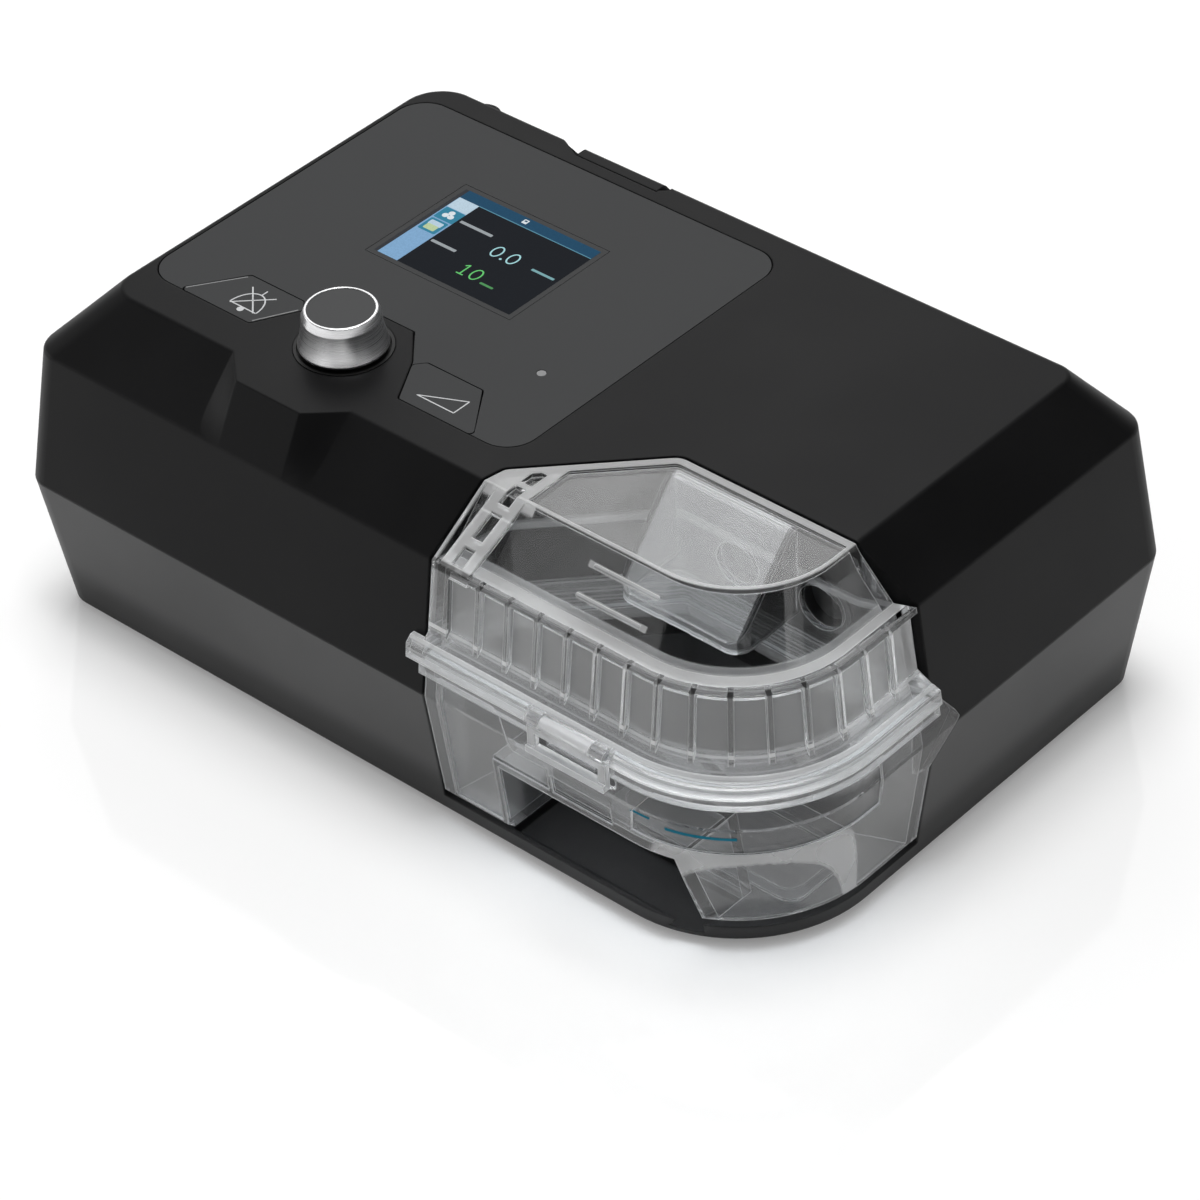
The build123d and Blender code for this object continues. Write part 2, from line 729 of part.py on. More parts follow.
def encoder_plunger():
    disc = Pos(0, 0, 2.5) * cylinder(encoder_nose - 0.1, 1.1) + cylinder(1.0, 5.2) - cylinder(1.2, 2.5)
    return Pos(panel_centre, knob_y, board_z) * disc


def encoder_shaft():
    top = board_drop + knob_rest + 8.2
    shaft = Pos(0, 0, 3.7) * cylinder(shaft_radius, top - 3.7)
    shaft -= Pos(0, 0, 3) * cylinder(1.05, 3)
    return Pos(panel_centre, knob_y, board_z) * shaft


# ------------------------------------------------------------------ water chamber
def tub_pocket(grow=0.0):
    """The finger opening under the tub's front, between its left leg and its rounded right end."""
    left, top = bay_left + finger_left, base_z + finger_top
    right = left + finger_length
    outline = [(left - grow, tub_low_z - 2), (left - grow, top + grow), (right + grow, top + grow),
               (right + finger_slant + grow, tub_low_z - 2)]
    back = -case_depth / 2 + base_lean + finger_depth - 1 + grow
    return front_prism(outline, -case_depth, back)


def heater_plan(grow=0.0):
    middle_y = (bay_back_y - chamber_gap - tub_wall - case_depth / 2 + base_lean + finger_depth) / 2
    outline = RectangleRounded(heater_length + 2 * grow, heater_depth + 2 * grow, heater_radius)
    return Pos(bay_left + heater_from_left, middle_y) * outline


def water_tub():
    outer = chamber_block([(tub_low_z, 2.2), (tub_low_z + 2.4, 0), (belt_z, 0), (rim_z, 0)])
    outer += chamber_block([(rim_z - rim_flange, -flange_reach * 0.75), (rim_z, -flange_reach * 0.75)])
    outer += ear_block() & casing_block(ear_low - 2, rim_z)
    outer -= tub_pocket()
    levels = (tub_low_z + tub_floor, belt_z, rim_z + 1)
    inner = chamber_block([(height, tub_wall) for height in levels], tub_wall) - tub_pocket(tub_wall)
    tub = outer - inner - sunken_front() - latch_gap(latch_low_z - 1, rim_z + 1, slot_depth)
    tub += latch_catch()
    tub -= plate(heater_plan(), tub_low_z - 1, tub_low_z + heater_seat)
    tub -= plate(heater_plan(-2.5), tub_low_z - 1, tub_low_z + tub_floor + 1)
    return tub


def latch_catch():
    """The bar on the tub's front that the latch's window drops over."""
    left = bay_left + latch_left
    bar = slab((left + 5, -case_depth, catch_z), (left + latch_width - 5, 0, catch_z + 1.4))
    return bar & (casing_block(catch_z - 1, catch_z + 2, -1.6) - casing_block(catch_z - 2, catch_z + 3, 1.5))


def sunken_front():
    """Shallow panels sunk in the tub's front: the leg's panel, the space round the latch, the slot under
    it and the large window that runs round the corner."""
    left = bay_left + leg_border
    inner_left = bay_left + finger_left - 1.5
    latch = bay_left + latch_left
    pillar = bay_left + pillar_left
    window = bay_left + window_left
    flange_low_z = rim_z - rim_flange
    step_z = latch_low_z - 7.0
    slot_top_z = latch_low_z - 8.6
    slot_low_z = base_z + finger_top + 2.0
    leg = [(left, flange_low_z), (latch - 14, flange_low_z), (latch - 8.6, step_z), (latch + 3, step_z),
           (latch + 3, slot_low_z), (inner_left, slot_low_z),
           (inner_left, tub_low_z + 3), (left, tub_low_z + 3)]
    latch_space = [(latch - 1.2, flange_low_z + 1), (latch - 1.2, latch_low_z - 1.5),
                   (pillar, latch_low_z - 1.5), (pillar, flange_low_z + 1)]
    slot = [(latch + 4.2, slot_top_z), (pillar - 1.2, slot_top_z),
            (pillar - 1.2, slot_low_z), (latch + 4.2, slot_low_z)]
    window_low_z = base_z + window_low
    glass = [(window + window_slant, flange_low_z), (window, flange_low_z - 9.5), (window - 1, window_low_z),
             (case_width, window_low_z), (case_width, flange_low_z)]
    sunken = Part()
    for outline, depth in ((leg, window_depth), (glass, window_depth),
                           (latch_space, slot_depth), (slot, slot_depth)):
        skin = casing_block(base_z, rim_z, -1) - casing_block(base_z - 1, rim_z + 1, depth)
        sunken += front_prism(outline, -case_depth, bay_back_y - 14) & skin
    return sunken


def latch_gap(low, high, depth):
    """The room for the latch in the flanges, as far in as a depth under the casing's form."""
    left, right = bay_left + latch_left - 0.6, bay_left + latch_left + latch_width + 0.6
    room = slab((left, -case_depth, low), (right, -case_depth / 2 + 1.6, high))
    return room - casing_block(low - 1, high + 1, depth)


def tub_base_plate():
    return plate(heater_plan(-0.1), tub_low_z + 0.02, tub_low_z + heater_seat)


def heater_plate():
    return plate(heater_plan(), base_z + heater_seat, bay_floor_z)


def rib_stations():
    """Even steps along the lid's outer wall: along the front, round the corner and back along the side."""
    _, side, front, _, _, radius, _, _ = outline_at(shoulder_z - 8, 0)
    start = bay_left + rib_first
    corner = (side - radius, -front + radius)
    straight = corner[0] - start
    arc = radius * pi / 2
    total = straight + arc + (bay_back_y - 4) - corner[1]
    stations = []
    for step in range(int(total / rib_pitch) + 1):
        run = step * rib_pitch
        if run <= straight:
            stations.append((start + run, -front, 0.0))
        elif run <= straight + arc:
            turn = (run - straight) / radius
            stations.append((corner[0] + radius * sin(turn), corner[1] - radius * cos(turn), degrees(turn)))
        else:
            stations.append((side, corner[1] + run - straight - arc, 90.0))
    return stations


def lid_skin(inset):
    """The lid's outside, or its hollow when inset: panels behind the ribs, a ledge, then bevels and top."""
    panel = rib_depth + inset
    ledge_z = shoulder_z - ledge_thickness - inset * 0.3
    low = flange_top_z - 0.5 if not inset else lid_low_z - 1
    shelf = [(low, panel - 1.2)] if not inset else [(low, panel)]
    lower = chamber_block([*shelf, (shelf_top_z, panel), (ledge_z, panel)], inset)
    upper_low = ledge_z if inset else shoulder_z
    upper = chamber_block([(upper_low - 0.01, inset, ledge_width), (shoulder_z, inset, ledge_width),
                           (top_z - inset, inset)], inset)
    return lower + upper


def rib_slots():
    """The shallow slots between the rib heads, just under the ledge."""
    high = shoulder_z - ledge_thickness
    low = high - rib_slot_height
    ring = chamber_block([(low, rib_depth - 0.5), (high, rib_depth - 0.5)])
    ring -= chamber_block([(low - 1, rib_depth + rib_slot_depth), (high + 1, rib_depth + rib_slot_depth)])
    return ring & slab((bay_left + rib_first - 4, -case_depth, low), (case_width, bay_back_y - 3, high))


def flange_form():
    """The lid's flange in the casing's form, with its upper edge chamfered."""
    return [(lid_low_z, -flange_reach), (flange_top_z - flange_chamfer, -flange_reach),
            (flange_top_z, -flange_reach + flange_chamfer)]


def flange_end():
    """The flange's left end, which laps over the casing's front."""
    lap = form(*flange_form()) - casing_block(lid_low_z - 1, flange_top_z + 1, -seam_gap)
    return lap & slab((bay_left - flange_overhang, -case_depth, lid_low_z), (bay_left + 3, 0, flange_top_z))


def chamber_lid():
    lid = lid_skin(0)
    lid += chamber_block([(shoulder_z - ledge_thickness, 0), (shoulder_z, 0)])
    lid -= rib_slots()
    lid += chamber_block(flange_form()) + flange_end()
    lid += chamber_block([(flange_top_z - 0.1, -1.4), (shelf_top_z, rib_depth)])
    ribs = slab((bay_left, -case_depth, flange_top_z), (bay_left + post_width, bay_turn_y, shoulder_z))
    for x, y, turn in rib_stations():
        ribs += Pos(x, y, flange_top_z) * Rot(0, 0, turn) * Pos(0, rib_root, 14) * Box(rib_width, 9, 40)
    lid += ribs & chamber_block([(flange_top_z, 0), (shoulder_z, 0)])
    lid += ladder_frame()
    lid -= ladder_cells()
    lid -= top_recess()
    lid += grip_ridges()
    lid -= lid_skin(lid_wall)
    mouth = lid_wall + rib_depth
    lid -= chamber_block([(lid_low_z - 1, mouth), (lid_low_z + 0.1, mouth)], lid_wall)
    lid -= latch_gap(lid_low_z - 1, flange_top_z - 1.2, -0.2)
    lid += latch_ears()
    lid -= seal_ring(0.15, 0.1)
    for x in (port_out_x, port_in_x):
        lid -= along_y(air_port_radius, (x, bay_back_y - 9, port_z), bay_back_y)
    return lid


def lean_x(y):
    """Where the ladder frame's left edge lies at a depth. It leans over the bevel, then runs straight."""
    share = (y - shoulder_y) / (bevel_end_y - shoulder_y)
    return bay_left + frame_left + frame_lean * min(share, 1)


def leaning_strip(start, width, front, back):
    """A strip of the lid's plan beside the ladder frame's left edge, between two depths."""
    depths = sorted({front, max(front, min(bevel_end_y, back)), back})
    left = [(lean_x(y) + start, y) for y in depths]
    right = [(x + width, y) for x, y in reversed(left)]
    return make_face(Polyline(*left, *right, close=True))


def raised_skin(face):
    """A plan outline raised to the casing's own form over the lid's bevel."""
    skin = casing_block(shoulder_z - 3, top_z)
    skin -= casing_block(shoulder_z - 6, top_z - frame_skin, frame_skin)
    return skin & plate(face, shoulder_z - 3, top_z) & plate(bay_plan(-chamber_gap), shoulder_z - 3, top_z)


def ladder_frame():
    """The raised frame that follows the lid's left edge up the bevel, and the thin fin on that edge."""
    back = bay_turn_y + frame_left + frame_lean + frame_width
    frame = raised_skin(leaning_strip(0, frame_width, shoulder_y - 1, back))
    edge = leaning_strip(-frame_left - 4, frame_left + 4, shoulder_y - 1, bay_turn_y)
    fin = casing_block(shoulder_z - 3, top_z) & plate(edge, shoulder_z - 3, top_z)
    fin &= plate(bay_plan(-chamber_gap) - bay_plan(-chamber_gap - fin_thickness), shoulder_z - 3, top_z)
    return frame + fin


def ladder_cells():
    """The cells between the ladder frame's rungs, open over the ledge and sunk in the skin above."""
    cells = Part()
    margin = (frame_width - ladder_cell_width) / 2
    for cell in range(ladder_cell_count):
        front = shoulder_y - 0.7 + cell * ladder_pitch
        back = front + ladder_cell_length
        front = max(front, shoulder_y + 1.0)
        cells += plate(leaning_strip(margin, ladder_cell_width, front, back), shoulder_z - 3, top_z + 1)
    cells &= plate(bay_plan(-chamber_gap - rim_band), shoulder_z - 3, top_z + 1)
    depth = frame_skin + 0.1
    return cells - casing_block(shoulder_z - 30, top_z - depth, depth)


def top_recess():
    """The lid's top face, sunk a little within its raised band."""
    face = section(top_z, 0, fin_thickness)
    recess = Pos(0, 0, -rim_step) * extrude(face, amount=rim_step + 1, dir=(0, 0, 1))
    recess &= plate(bay_plan(-chamber_gap - rim_band), top_z - 3, top_z + 2)
    beside = leaning_strip(-rim_band, frame_width + rim_band, bevel_end_y - 2, bay_back_y)
    return recess - plate(beside, top_z - 3, top_z + 2)


def grip_ridges():
    """Two short ridges across the bevel."""
    ridges = Part()
    for x, share in ((bay_left + 45.5, 0.68), (bay_left + 43.5, 0.26)):
        y = shoulder_y + ledge_width + share * (front_bevel - ledge_width)
        z = shoulder_z + share * (top_z - shoulder_z)
        ridges += Pos(x, y, z) * Rot(0, 90, 0) * cylinder(grip_ridge_radius, grip_ridge_length)
    return ridges


def seal_ring(widen, raise_by):
    """The lid seal's path inside the rim: a flat ring seated in the lid's underside."""
    inset = seal_inset - widen
    stations = [(lid_low_z - 0.05 - widen, inset), (lid_low_z + 0.9 + raise_by, inset)]
    return chamber_ring(stations, inset, seal_width + 2 * widen)


def lid_seal():
    return seal_ring(0.0, 0.0)


def splash_chute():
    """The hood that turns the air down onto the water, hung from the lid's back wall: a sloping roof
    between two side walls, with rounded front corners and an open underside."""
    back = bay_back_y - chamber_gap - lid_wall - seam_gap
    top = top_z - lid_wall - rim_step
    low = chute_low_z - chute_lip
    front = back - chute_reach
    middle = bay_left + chute_left + chute_width / 2
    roof = back - chute_roof_start
    outside = [(back, low), (back, top), (roof, top), (front, chute_low_z), (front, low)]
    inside = [(back + 1, low - 1), (back + 1, top - chute_wall), (roof + chute_wall / 3, top - chute_wall),
              (front + chute_wall, chute_low_z - chute_wall / 2), (front + chute_wall, low - 1)]
    hood = side_prism(outside, middle - chute_width / 2, middle + chute_width / 2)
    hood &= plate(Pos(middle, back) * RectangleRounded(chute_width, 2 * chute_reach, chute_corner), low, top)
    hood &= plate(bay_plan(-chamber_gap - lid_wall - seam_gap), low, top)
    width, depth = chute_width - 2 * chute_wall, 2 * (chute_reach - chute_wall)
    hollow = side_prism(inside, middle - width / 2, middle + width / 2)
    room = RectangleRounded(width, depth, chute_corner - chute_wall)
    hollow &= plate(Pos(middle, back) * room, low - 2, top)
    return hood - hollow


def latch_axis():
    """The pin's depth and height."""
    return -case_depth / 2 - flange_reach + 1.6, flange_top_z - latch_pin_drop


def chamber_latch():
    """The hasp: a window frame that hangs over the tub's catch from a pin under the lid's flange."""
    y, z = latch_axis()
    left = bay_left + latch_left
    right = left + latch_width
    low, half = latch_low_z, latch_thickness / 2
    hasp = slab((left, y - half, low), (right, y + half, z))
    hasp += Pos(left, y, z) * Rot(0, 90, 0) * cylinder(latch_barrel, latch_width)
    window_z = low + latch_foot
    hasp -= slab((left + latch_bar, y - 5, window_z), (right - latch_bar, y + 5, window_z + latch_window))
    hasp += slab((left, y - latch_thickness, low), (right, y, window_z))
    for x in (left - 1, right - latch_ear - 0.3):
        hasp -= slab((x, y - 5, z - latch_barrel - 0.5), (x + latch_ear + 1.3, y + 5, z + 3))
    bore = cylinder(latch_pin_radius + running_gap, latch_width + 2)
    return hasp - Pos(left - 1, y, z) * Rot(0, 90, 0) * bore


def latch_pin():
    y, z = latch_axis()
    left = bay_left + latch_left
    return Pos(left + 0.4, y, z) * Rot(0, 90, 0) * cylinder(latch_pin_radius, latch_width - 0.8)


def latch_ears():
    """The two ears under the lid's flange that hold the latch's pin."""
    y, z = latch_axis()
    left = bay_left + latch_left
    ears = Part()
    for x in (left, left + latch_width - latch_ear):
        ear = Pos(x, y, z) * Rot(0, 90, 0) * cylinder(latch_barrel, latch_ear)
        ear += slab((x, y, z - latch_barrel), (x + latch_ear, -case_depth / 2 + 2.6, flange_top_z - 1))
        ears += ear - Pos(x - 1, y, z) * Rot(0, 90, 0) * cylinder(latch_pin_radius, latch_ear + 2)
    return ears


# ------------------------------------------------------------------ air path
def port_seals():
    """Soft rings in the bay's back wall that the lid's ports press against."""
    rings = []
    for x in (port_out_x, port_in_x):
        start = bay_back_y - chamber_gap + 0.3
        ring = along_y(air_port_radius + 1.5, (x, start, port_z), bay_back_y + wall)
        rings.append(ring - along_y(air_port_radius, (x, start - 1, port_z), bay_back_y + wall + 1))
    return rings


def duct(points, bend):
    """A moulded duct along straight runs joined by bends, with a flange at each end."""
    path = FilletPolyline(*points, radius=bend)
    start = Plane(origin=path @ 0, z_dir=path % 0)
    finish = Plane(origin=path @ 1, z_dir=-(path % 1))
    outside = sweep(start * Circle(duct_radius), path=path)
    for end in (start, finish):
        outside += extrude(end * Circle(duct_radius + duct_flange), amount=1.5)
    return outside - sweep(start * Circle(duct_radius - duct_wall), path=path)


def riser_duct():
    return duct([(port_in_x, volute_end_y - 0.05, volute_z), (port_in_x, riser_y, volute_z),
                 (port_in_x, riser_y, port_z), (port_in_x, bay_back_y + wall + 0.05, port_z)], duct_bend)


def outlet_duct():
    end_y = outlet_wall_y - outlet_collar
    run_y = end_y - 16
    return duct([(port_out_x, bay_back_y + wall + 0.05, port_z), (port_out_x, run_y, port_z),
                 (outlet_x, run_y, outlet_z), (outlet_x, end_y - 0.05, outlet_z)], duct_bend + 2.5)


def air_outlet():
    """The hose nozzle: a 22 mm male end standing in its well, with a collar behind the wall."""
    start = (outlet_x, outlet_wall_y - outlet_collar, outlet_z)
    nozzle = along_y(outlet_radius, start, case_depth / 2 + outlet_proud)
    nozzle += along_y(outlet_root_radius, start, outlet_well_y + outlet_root_proud)
    nozzle += along_y(outlet_root_radius + outlet_collar_step, start, outlet_wall_y)
    nozzle -= along_y(outlet_bore, (outlet_x, start[1] - 1, outlet_z), case_depth)
    return nozzle


def blower_mount_places():
    reach = volute_radius - 5
    return [(blower_x + reach * cos(radians(a)), blower_y + reach * sin(radians(a))) for a in (80, 200, 320)]


def blower_mounts():
    """Soft rubber mounts between the casing's posts and the blower."""
    return [Pos(x, y, mount_low_z) * tube(mount_radius, 1.6, mount_height) for x, y in blower_mount_places()]


def volute_form(inset):
    """The scroll: a round drum with a straight tangential outlet."""
    low, high = volute_low_z + inset, volute_top_z - inset
    drum = Pos(blower_x, blower_y, low) * cylinder(volute_radius - inset, high - low)
    throat = along_y(duct_radius + 2.4 - inset, (port_in_x, volute_end_y, volute_z), blower_y)
    return drum + throat


def blower_lower():
    lower = volute_form(0) - volute_form(shell_wall)
    lower &= slab((-case_width, -case_depth, 0), (case_width, case_depth, volute_split_z))
    holder = tube(motor_radius + 2.0, motor_radius + 0.3, motor_height + 0.5)
    lower += Pos(blower_x, blower_y, volute_low_z) * holder
    return lower - along_y(duct_radius - duct_wall, (port_in_x, volute_end_y - 1, volute_z), blower_y)


def blower_upper():
    upper = volute_form(0) - volute_form(shell_wall)
    upper &= slab((-case_width, -case_depth, volute_split_z), (case_width, case_depth, case_height))
    inlet = Pos(blower_x, blower_y, volute_top_z - 3) * cylinder(16.0, 9)
    lip = Pos(blower_x, blower_y, volute_top_z - shell_wall) * tube(18.0, 16.0, 4.0)
    upper = upper - inlet + lip
    return upper - along_y(duct_radius - duct_wall, (port_in_x, volute_end_y - 1, volute_z), blower_y)


def motor_can():
    can = Pos(blower_x, blower_y, volute_low_z + shell_wall) * cylinder(motor_radius, motor_height)
    return can - Pos(blower_x, blower_y, volute_low_z) * cylinder(motor_shaft_radius + running_gap, 30)


def motor_shaft():
    foot_z = volute_low_z + shell_wall + 1.5
    return Pos(blower_x, blower_y, foot_z) * cylinder(motor_shaft_radius, motor_height + impeller_height - 1)


def impeller():
    """Backward-swept radial impeller on a hub, with a bottom shroud."""
    low = volute_low_z + shell_wall + motor_height + 1.2
    shroud = 1.2
    wheel = cylinder(impeller_radius, shroud) + cylinder(hub_radius, impeller_height)
    nose = Cone(hub_radius, motor_shaft_radius + 0.4, 3.0, align=(Align.CENTER, Align.CENTER, Align.MIN))
    wheel += Pos(0, 0, impeller_height) * nose
    blade_path = ThreePointArc((hub_radius + 3, 0), (impeller_radius - 12, 5.5), (impeller_radius - 0.6, 2.0))
    blade = extrude(make_face(offset(blade_path, amount=0.5, side=Side.BOTH)), amount=impeller_height - 1.5)
    for step in range(blade_count):
        wheel += Rot(0, 0, step * 360 / blade_count) * Pos(0, 0, shroud - 0.2) * blade
    wheel -= Pos(0, 0, -1) * cylinder(motor_shaft_radius, 30)
    return Pos(blower_x, blower_y, low) * wheel


def filter_cover():
    """The snap-in cover of the air inlet: a piece of the back wall and bevel, with slots."""
    shell = casing_block(filter_low - 2, top_z) - casing_block(filter_low - 3, top_z - 2.0, 2.0)
    cover = shell & filter_zone() & soft_casing()
    for row in range(filter_slots):
        slot = Box(filter_width - 9, 14, 2.0)
        z = filter_low + 6 + row * filter_slot_pitch
        cover -= Pos(filter_left + filter_width / 2, case_depth / 2 - side_lean, z) * slot
    rim_y = case_depth / 2 - side_lean - 6.0
    left, right, rim_wall = filter_left + 1.8, filter_left + filter_width - 1.8, 1.6
    low, high = filter_low + 2.4, top_z - 7
    rim = slab((left, rim_y, low), (right, case_depth, high))
    rim -= slab((left + rim_wall, rim_y - 1, low + rim_wall), (right - rim_wall, case_depth, high - rim_wall))
    return cover + (rim & casing_block(filter_low - 2, top_z, 1.0))


def filter_foam():
    pocket = case_depth / 2 - side_lean - filter_pocket_depth
    return slab((filter_left + 2.0, pocket + 0.3, filter_low + 2.5),
                (filter_left + filter_width - 2.0, case_depth / 2 - side_lean - 6.3, shoulder_z - 1))


def muffler_foam():
    block = slab((-6.0, 6.0, floor_z), (22.0, 60.0, belt_z + 14))
    return fillet(block.edges().filter_by(Axis.Z), 4)


# ------------------------------------------------------------------ power and storage
def main_board_outline():
    return -case_width / 2 + 20, -44.0, -12.0, case_depth / 2 - 23.0


def main_board_screw_places():
    left, front, right, back = main_board_outline()
    return [(x, y) for x in (left + 6, right - 6) for y in (front + 6, back - 22)]


def main_board():
    left, front, right, back = main_board_outline()
    board = slab((left, front, main_board_z), (right, back, main_board_z + board_thickness))
    for x, y in main_board_screw_places():
        board -= Pos(x, y, main_board_z - 1) * cylinder(1.2, 9)
    return board


def main_board_parts():
    """The tall parts on the main board: capacitors, a choke and the blower driver's heat sink."""
    top = main_board_z + board_thickness
    parts = [Pos(-100 + step * 13.0, -30, top) * cylinder(5.0, 16) for step in range(3)]
    choke = Pos(-50, -28, top) * tube(9.0, 4.0, 8)
    sink = Pos(-40, 20, top + 6) * Box(24, 30, 12)
    for fin in range(5):
        sink -= Pos(-40 - 9.6 + fin * 4.8, 20, top + 9) * Box(2.4, 40, 9)
    return [*parts, choke, sink]


def power_inlet():
    """The barrel-jack socket: a block with a round mouth and a centre pin."""
    face_y = case_depth / 2 - 2.2
    half, low = power_width / 2, main_board_z + board_thickness
    body = slab((power_x - half, face_y - 14, low), (power_x + half, face_y, power_z + 6))
    body -= along_y(3.2, (power_x, face_y - 10, power_z), case_depth)
    return body + along_y(1.0, (power_x, face_y - 12, power_z), face_y - 1.5)


def back_wall_y(height):
    """Where the casing's back wall has its outer face at a height."""
    return outline_at(height, 0)[3]


def card_slot():
    """The memory-card cage on the main board, close behind the wall."""
    low = main_board_z + board_thickness
    face_y = back_wall_y(low) - wall - 0.4
    half, slot = card_width / 2 + 0.3, card_thickness / 2 + 0.3
    body = slab((card_x - half - 1.5, face_y - 27, low), (card_x + half + 1.5, face_y, card_z + 2.2))
    mouth = slab((card_x - half, face_y - 28, card_z - slot), (card_x + half, face_y + 1, card_z + slot))
    return body - mouth


def memory_card():
    """A full-size card, with one corner cut, standing a little out of its slot."""
    end = back_wall_y(card_z) + 1.6
    start, left, right, cut = end - card_length, card_x - card_width / 2, card_x + card_width / 2, 4.0
    outline = [(left, start), (right - cut, start), (right, start + cut), (right, end), (left, end)]
    half = card_thickness / 2
    return plate(make_face(Polyline(*outline, close=True)), card_z - half, card_z + half)


# ------------------------------------------------------------------ every node
def write_all():
    os.makedirs("parts", exist_ok=True)
    builders = [
        top_cover, bottom_case, rubber_feet, case_screws, control_panel, sensor_lens, display_lens,
        display_module, display_bracket, button_switches, control_board, board_screws, knob_body, knob_cap,
        knob_ring, encoder_body, encoder_plunger, encoder_shaft, water_tub, tub_base_plate, heater_plate,
        chamber_lid, lid_seal, splash_chute, chamber_latch, latch_pin, port_seals, riser_duct, outlet_duct,
        air_outlet, blower_mounts, blower_lower, blower_upper, motor_can, motor_shaft, impeller,
        filter_cover, filter_foam, muffler_foam, main_board, main_board_parts, power_inlet, card_slot,
        memory_card,
    ]
    made = {build.__name__: build() for build in builders}
    made["mute_button"] = button_cap(-1)
    made["ramp_button"] = button_cap(1)
    for name, shape in made.items():
        export_step(Compound(shape) if isinstance(shape, list) else shape, f"parts/{name}.step")


write_all()
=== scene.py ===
import math

import bpy
import numpy as np
from mathutils import Matrix, Vector


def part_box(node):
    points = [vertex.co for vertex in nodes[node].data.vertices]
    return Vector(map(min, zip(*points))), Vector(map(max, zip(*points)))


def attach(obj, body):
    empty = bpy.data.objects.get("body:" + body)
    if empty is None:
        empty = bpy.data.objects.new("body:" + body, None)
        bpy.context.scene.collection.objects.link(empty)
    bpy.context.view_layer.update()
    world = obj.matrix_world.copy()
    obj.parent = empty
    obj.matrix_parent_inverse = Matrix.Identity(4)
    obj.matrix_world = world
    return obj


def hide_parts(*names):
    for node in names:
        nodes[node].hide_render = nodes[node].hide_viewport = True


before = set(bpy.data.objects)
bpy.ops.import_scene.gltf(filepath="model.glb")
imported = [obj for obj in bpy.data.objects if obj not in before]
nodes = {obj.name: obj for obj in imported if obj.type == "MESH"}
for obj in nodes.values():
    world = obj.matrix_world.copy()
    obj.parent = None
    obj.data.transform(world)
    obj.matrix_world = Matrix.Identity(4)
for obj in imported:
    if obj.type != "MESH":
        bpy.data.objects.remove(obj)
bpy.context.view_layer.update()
scene = bpy.context.scene
mm = 0.001

# camera: a long lens from the right front, a little above
cameraSet = {
    "azimuth": 43.0,
    "elevation": 38.78,
    "roll": -2.76,
    "distance": 1.21019,
    "target": (0.03584, -0.03449, 0.0525),
    "lens": 138.77,
    "sensor": 36.0,
    "near": 0.05,
    "far": 20.0,
}


# the camera looks back along azimuth and elevation, then turns about its own line of sight by the roll
def makeCamera(look):
    a, e, r = (math.radians(look[k]) for k in ("azimuth", "elevation", "roll"))
    back = Vector((math.sin(a) * math.cos(e), -math.cos(a) * math.cos(e), math.sin(e)))
    level = Vector((math.cos(a), math.sin(a), 0))
    upward = back.cross(level)
    right = math.cos(r) * level + math.sin(r) * upward
    up = math.cos(r) * upward - math.sin(r) * level
    data = bpy.data.cameras.new("camera")
    data.lens, data.sensor_width = look["lens"], look["sensor"]
    data.clip_start, data.clip_end = look["near"], look["far"]
    camera = bpy.data.objects.new("camera", data)
    scene.collection.objects.link(camera)
    turn = Matrix((right, up, back)).transposed().to_4x4()
    camera.matrix_world = Matrix.Translation(Vector(look["target"]) + back * look["distance"]) @ turn
    scene.camera = camera


makeCamera(cameraSet)
scene.view_settings.view_transform = "Standard"
print("camera set")

# studio: a white sweep, one broad lamp overhead, a small soft box behind on the left, and low fills
studioSet = {
    "floorColor": 0.87,
    "floorGlow": 0.18,
    "farGlow": 0.95,  # the glow beyond the lamps' reach, so that the sweep stays white
    "farEdge": (0.38, 1.4),
    "floorGloss": 0.07,
    "floorIor": 1.45,
    "floorReach": 6.0,
    "brightSide": (-0.53, 0.57, 0.55),  # the direction in which the room is bright
    "brightEdge": (0.72, 0.93),  # cosines from that direction where the brightness starts and is full
    "brightLevel": 1.0,
    "dimLevel": 0.035,
    "horizonEdge": (0.04, 0.2),  # heights, as sines, between which the horizon's bright band fades
    "darkSide": (0.68, -0.73, 0.0),  # the direction in which that band is dim
    "darkEdge": (0.7, 0.97),
    "darkLevel": 0.35,
    "roomLight": 0.3,
}
lampSet = {
    "overhead": {"place": (-0.05, 0.1, 2.0), "size": (0.9, 0.9), "level": 10.2, "aim": (0.0, 0.0, 0.0)},
    "softBox": {"place": (-0.575, 0.63, 0.86), "size": (0.36, 0.36), "level": 2.3, "aim": (0.07, -0.05, 0.1)},
    "leftFill": {"place": (-0.9, -1.1, 0.55), "size": (0.7, 0.5), "level": 1.2, "aim": (0.0, -0.05, 0.05)},
    "leftStrip": {"place": (-1.1, -0.45, 0.34), "size": (0.5, 0.3), "level": 3.0,
                  "aim": (-0.05, -0.05, 0.1)},
    "rightStrip": {"place": (1.0, -0.08, 0.66), "size": (0.25, 0.3), "level": 2.0,
                   "aim": (-0.05, -0.05, 0.1)},
}


# a rectangular lamp of a given radiance: its power is radiance times area times pi
def areaLight(name, look):
    data = bpy.data.lights.new(name, "AREA")
    data.shape = "RECTANGLE"
    data.size, data.size_y = look["size"]
    data.energy = look["level"] * look["size"][0] * look["size"][1] * math.pi
    lamp = bpy.data.objects.new(name, data)
    scene.collection.objects.link(lamp)
    place = Vector(look["place"])
    turn = (place - Vector(look["aim"])).to_track_quat("Z", "Y").to_matrix().to_4x4()
    lamp.matrix_world = Matrix.Translation(place) @ turn


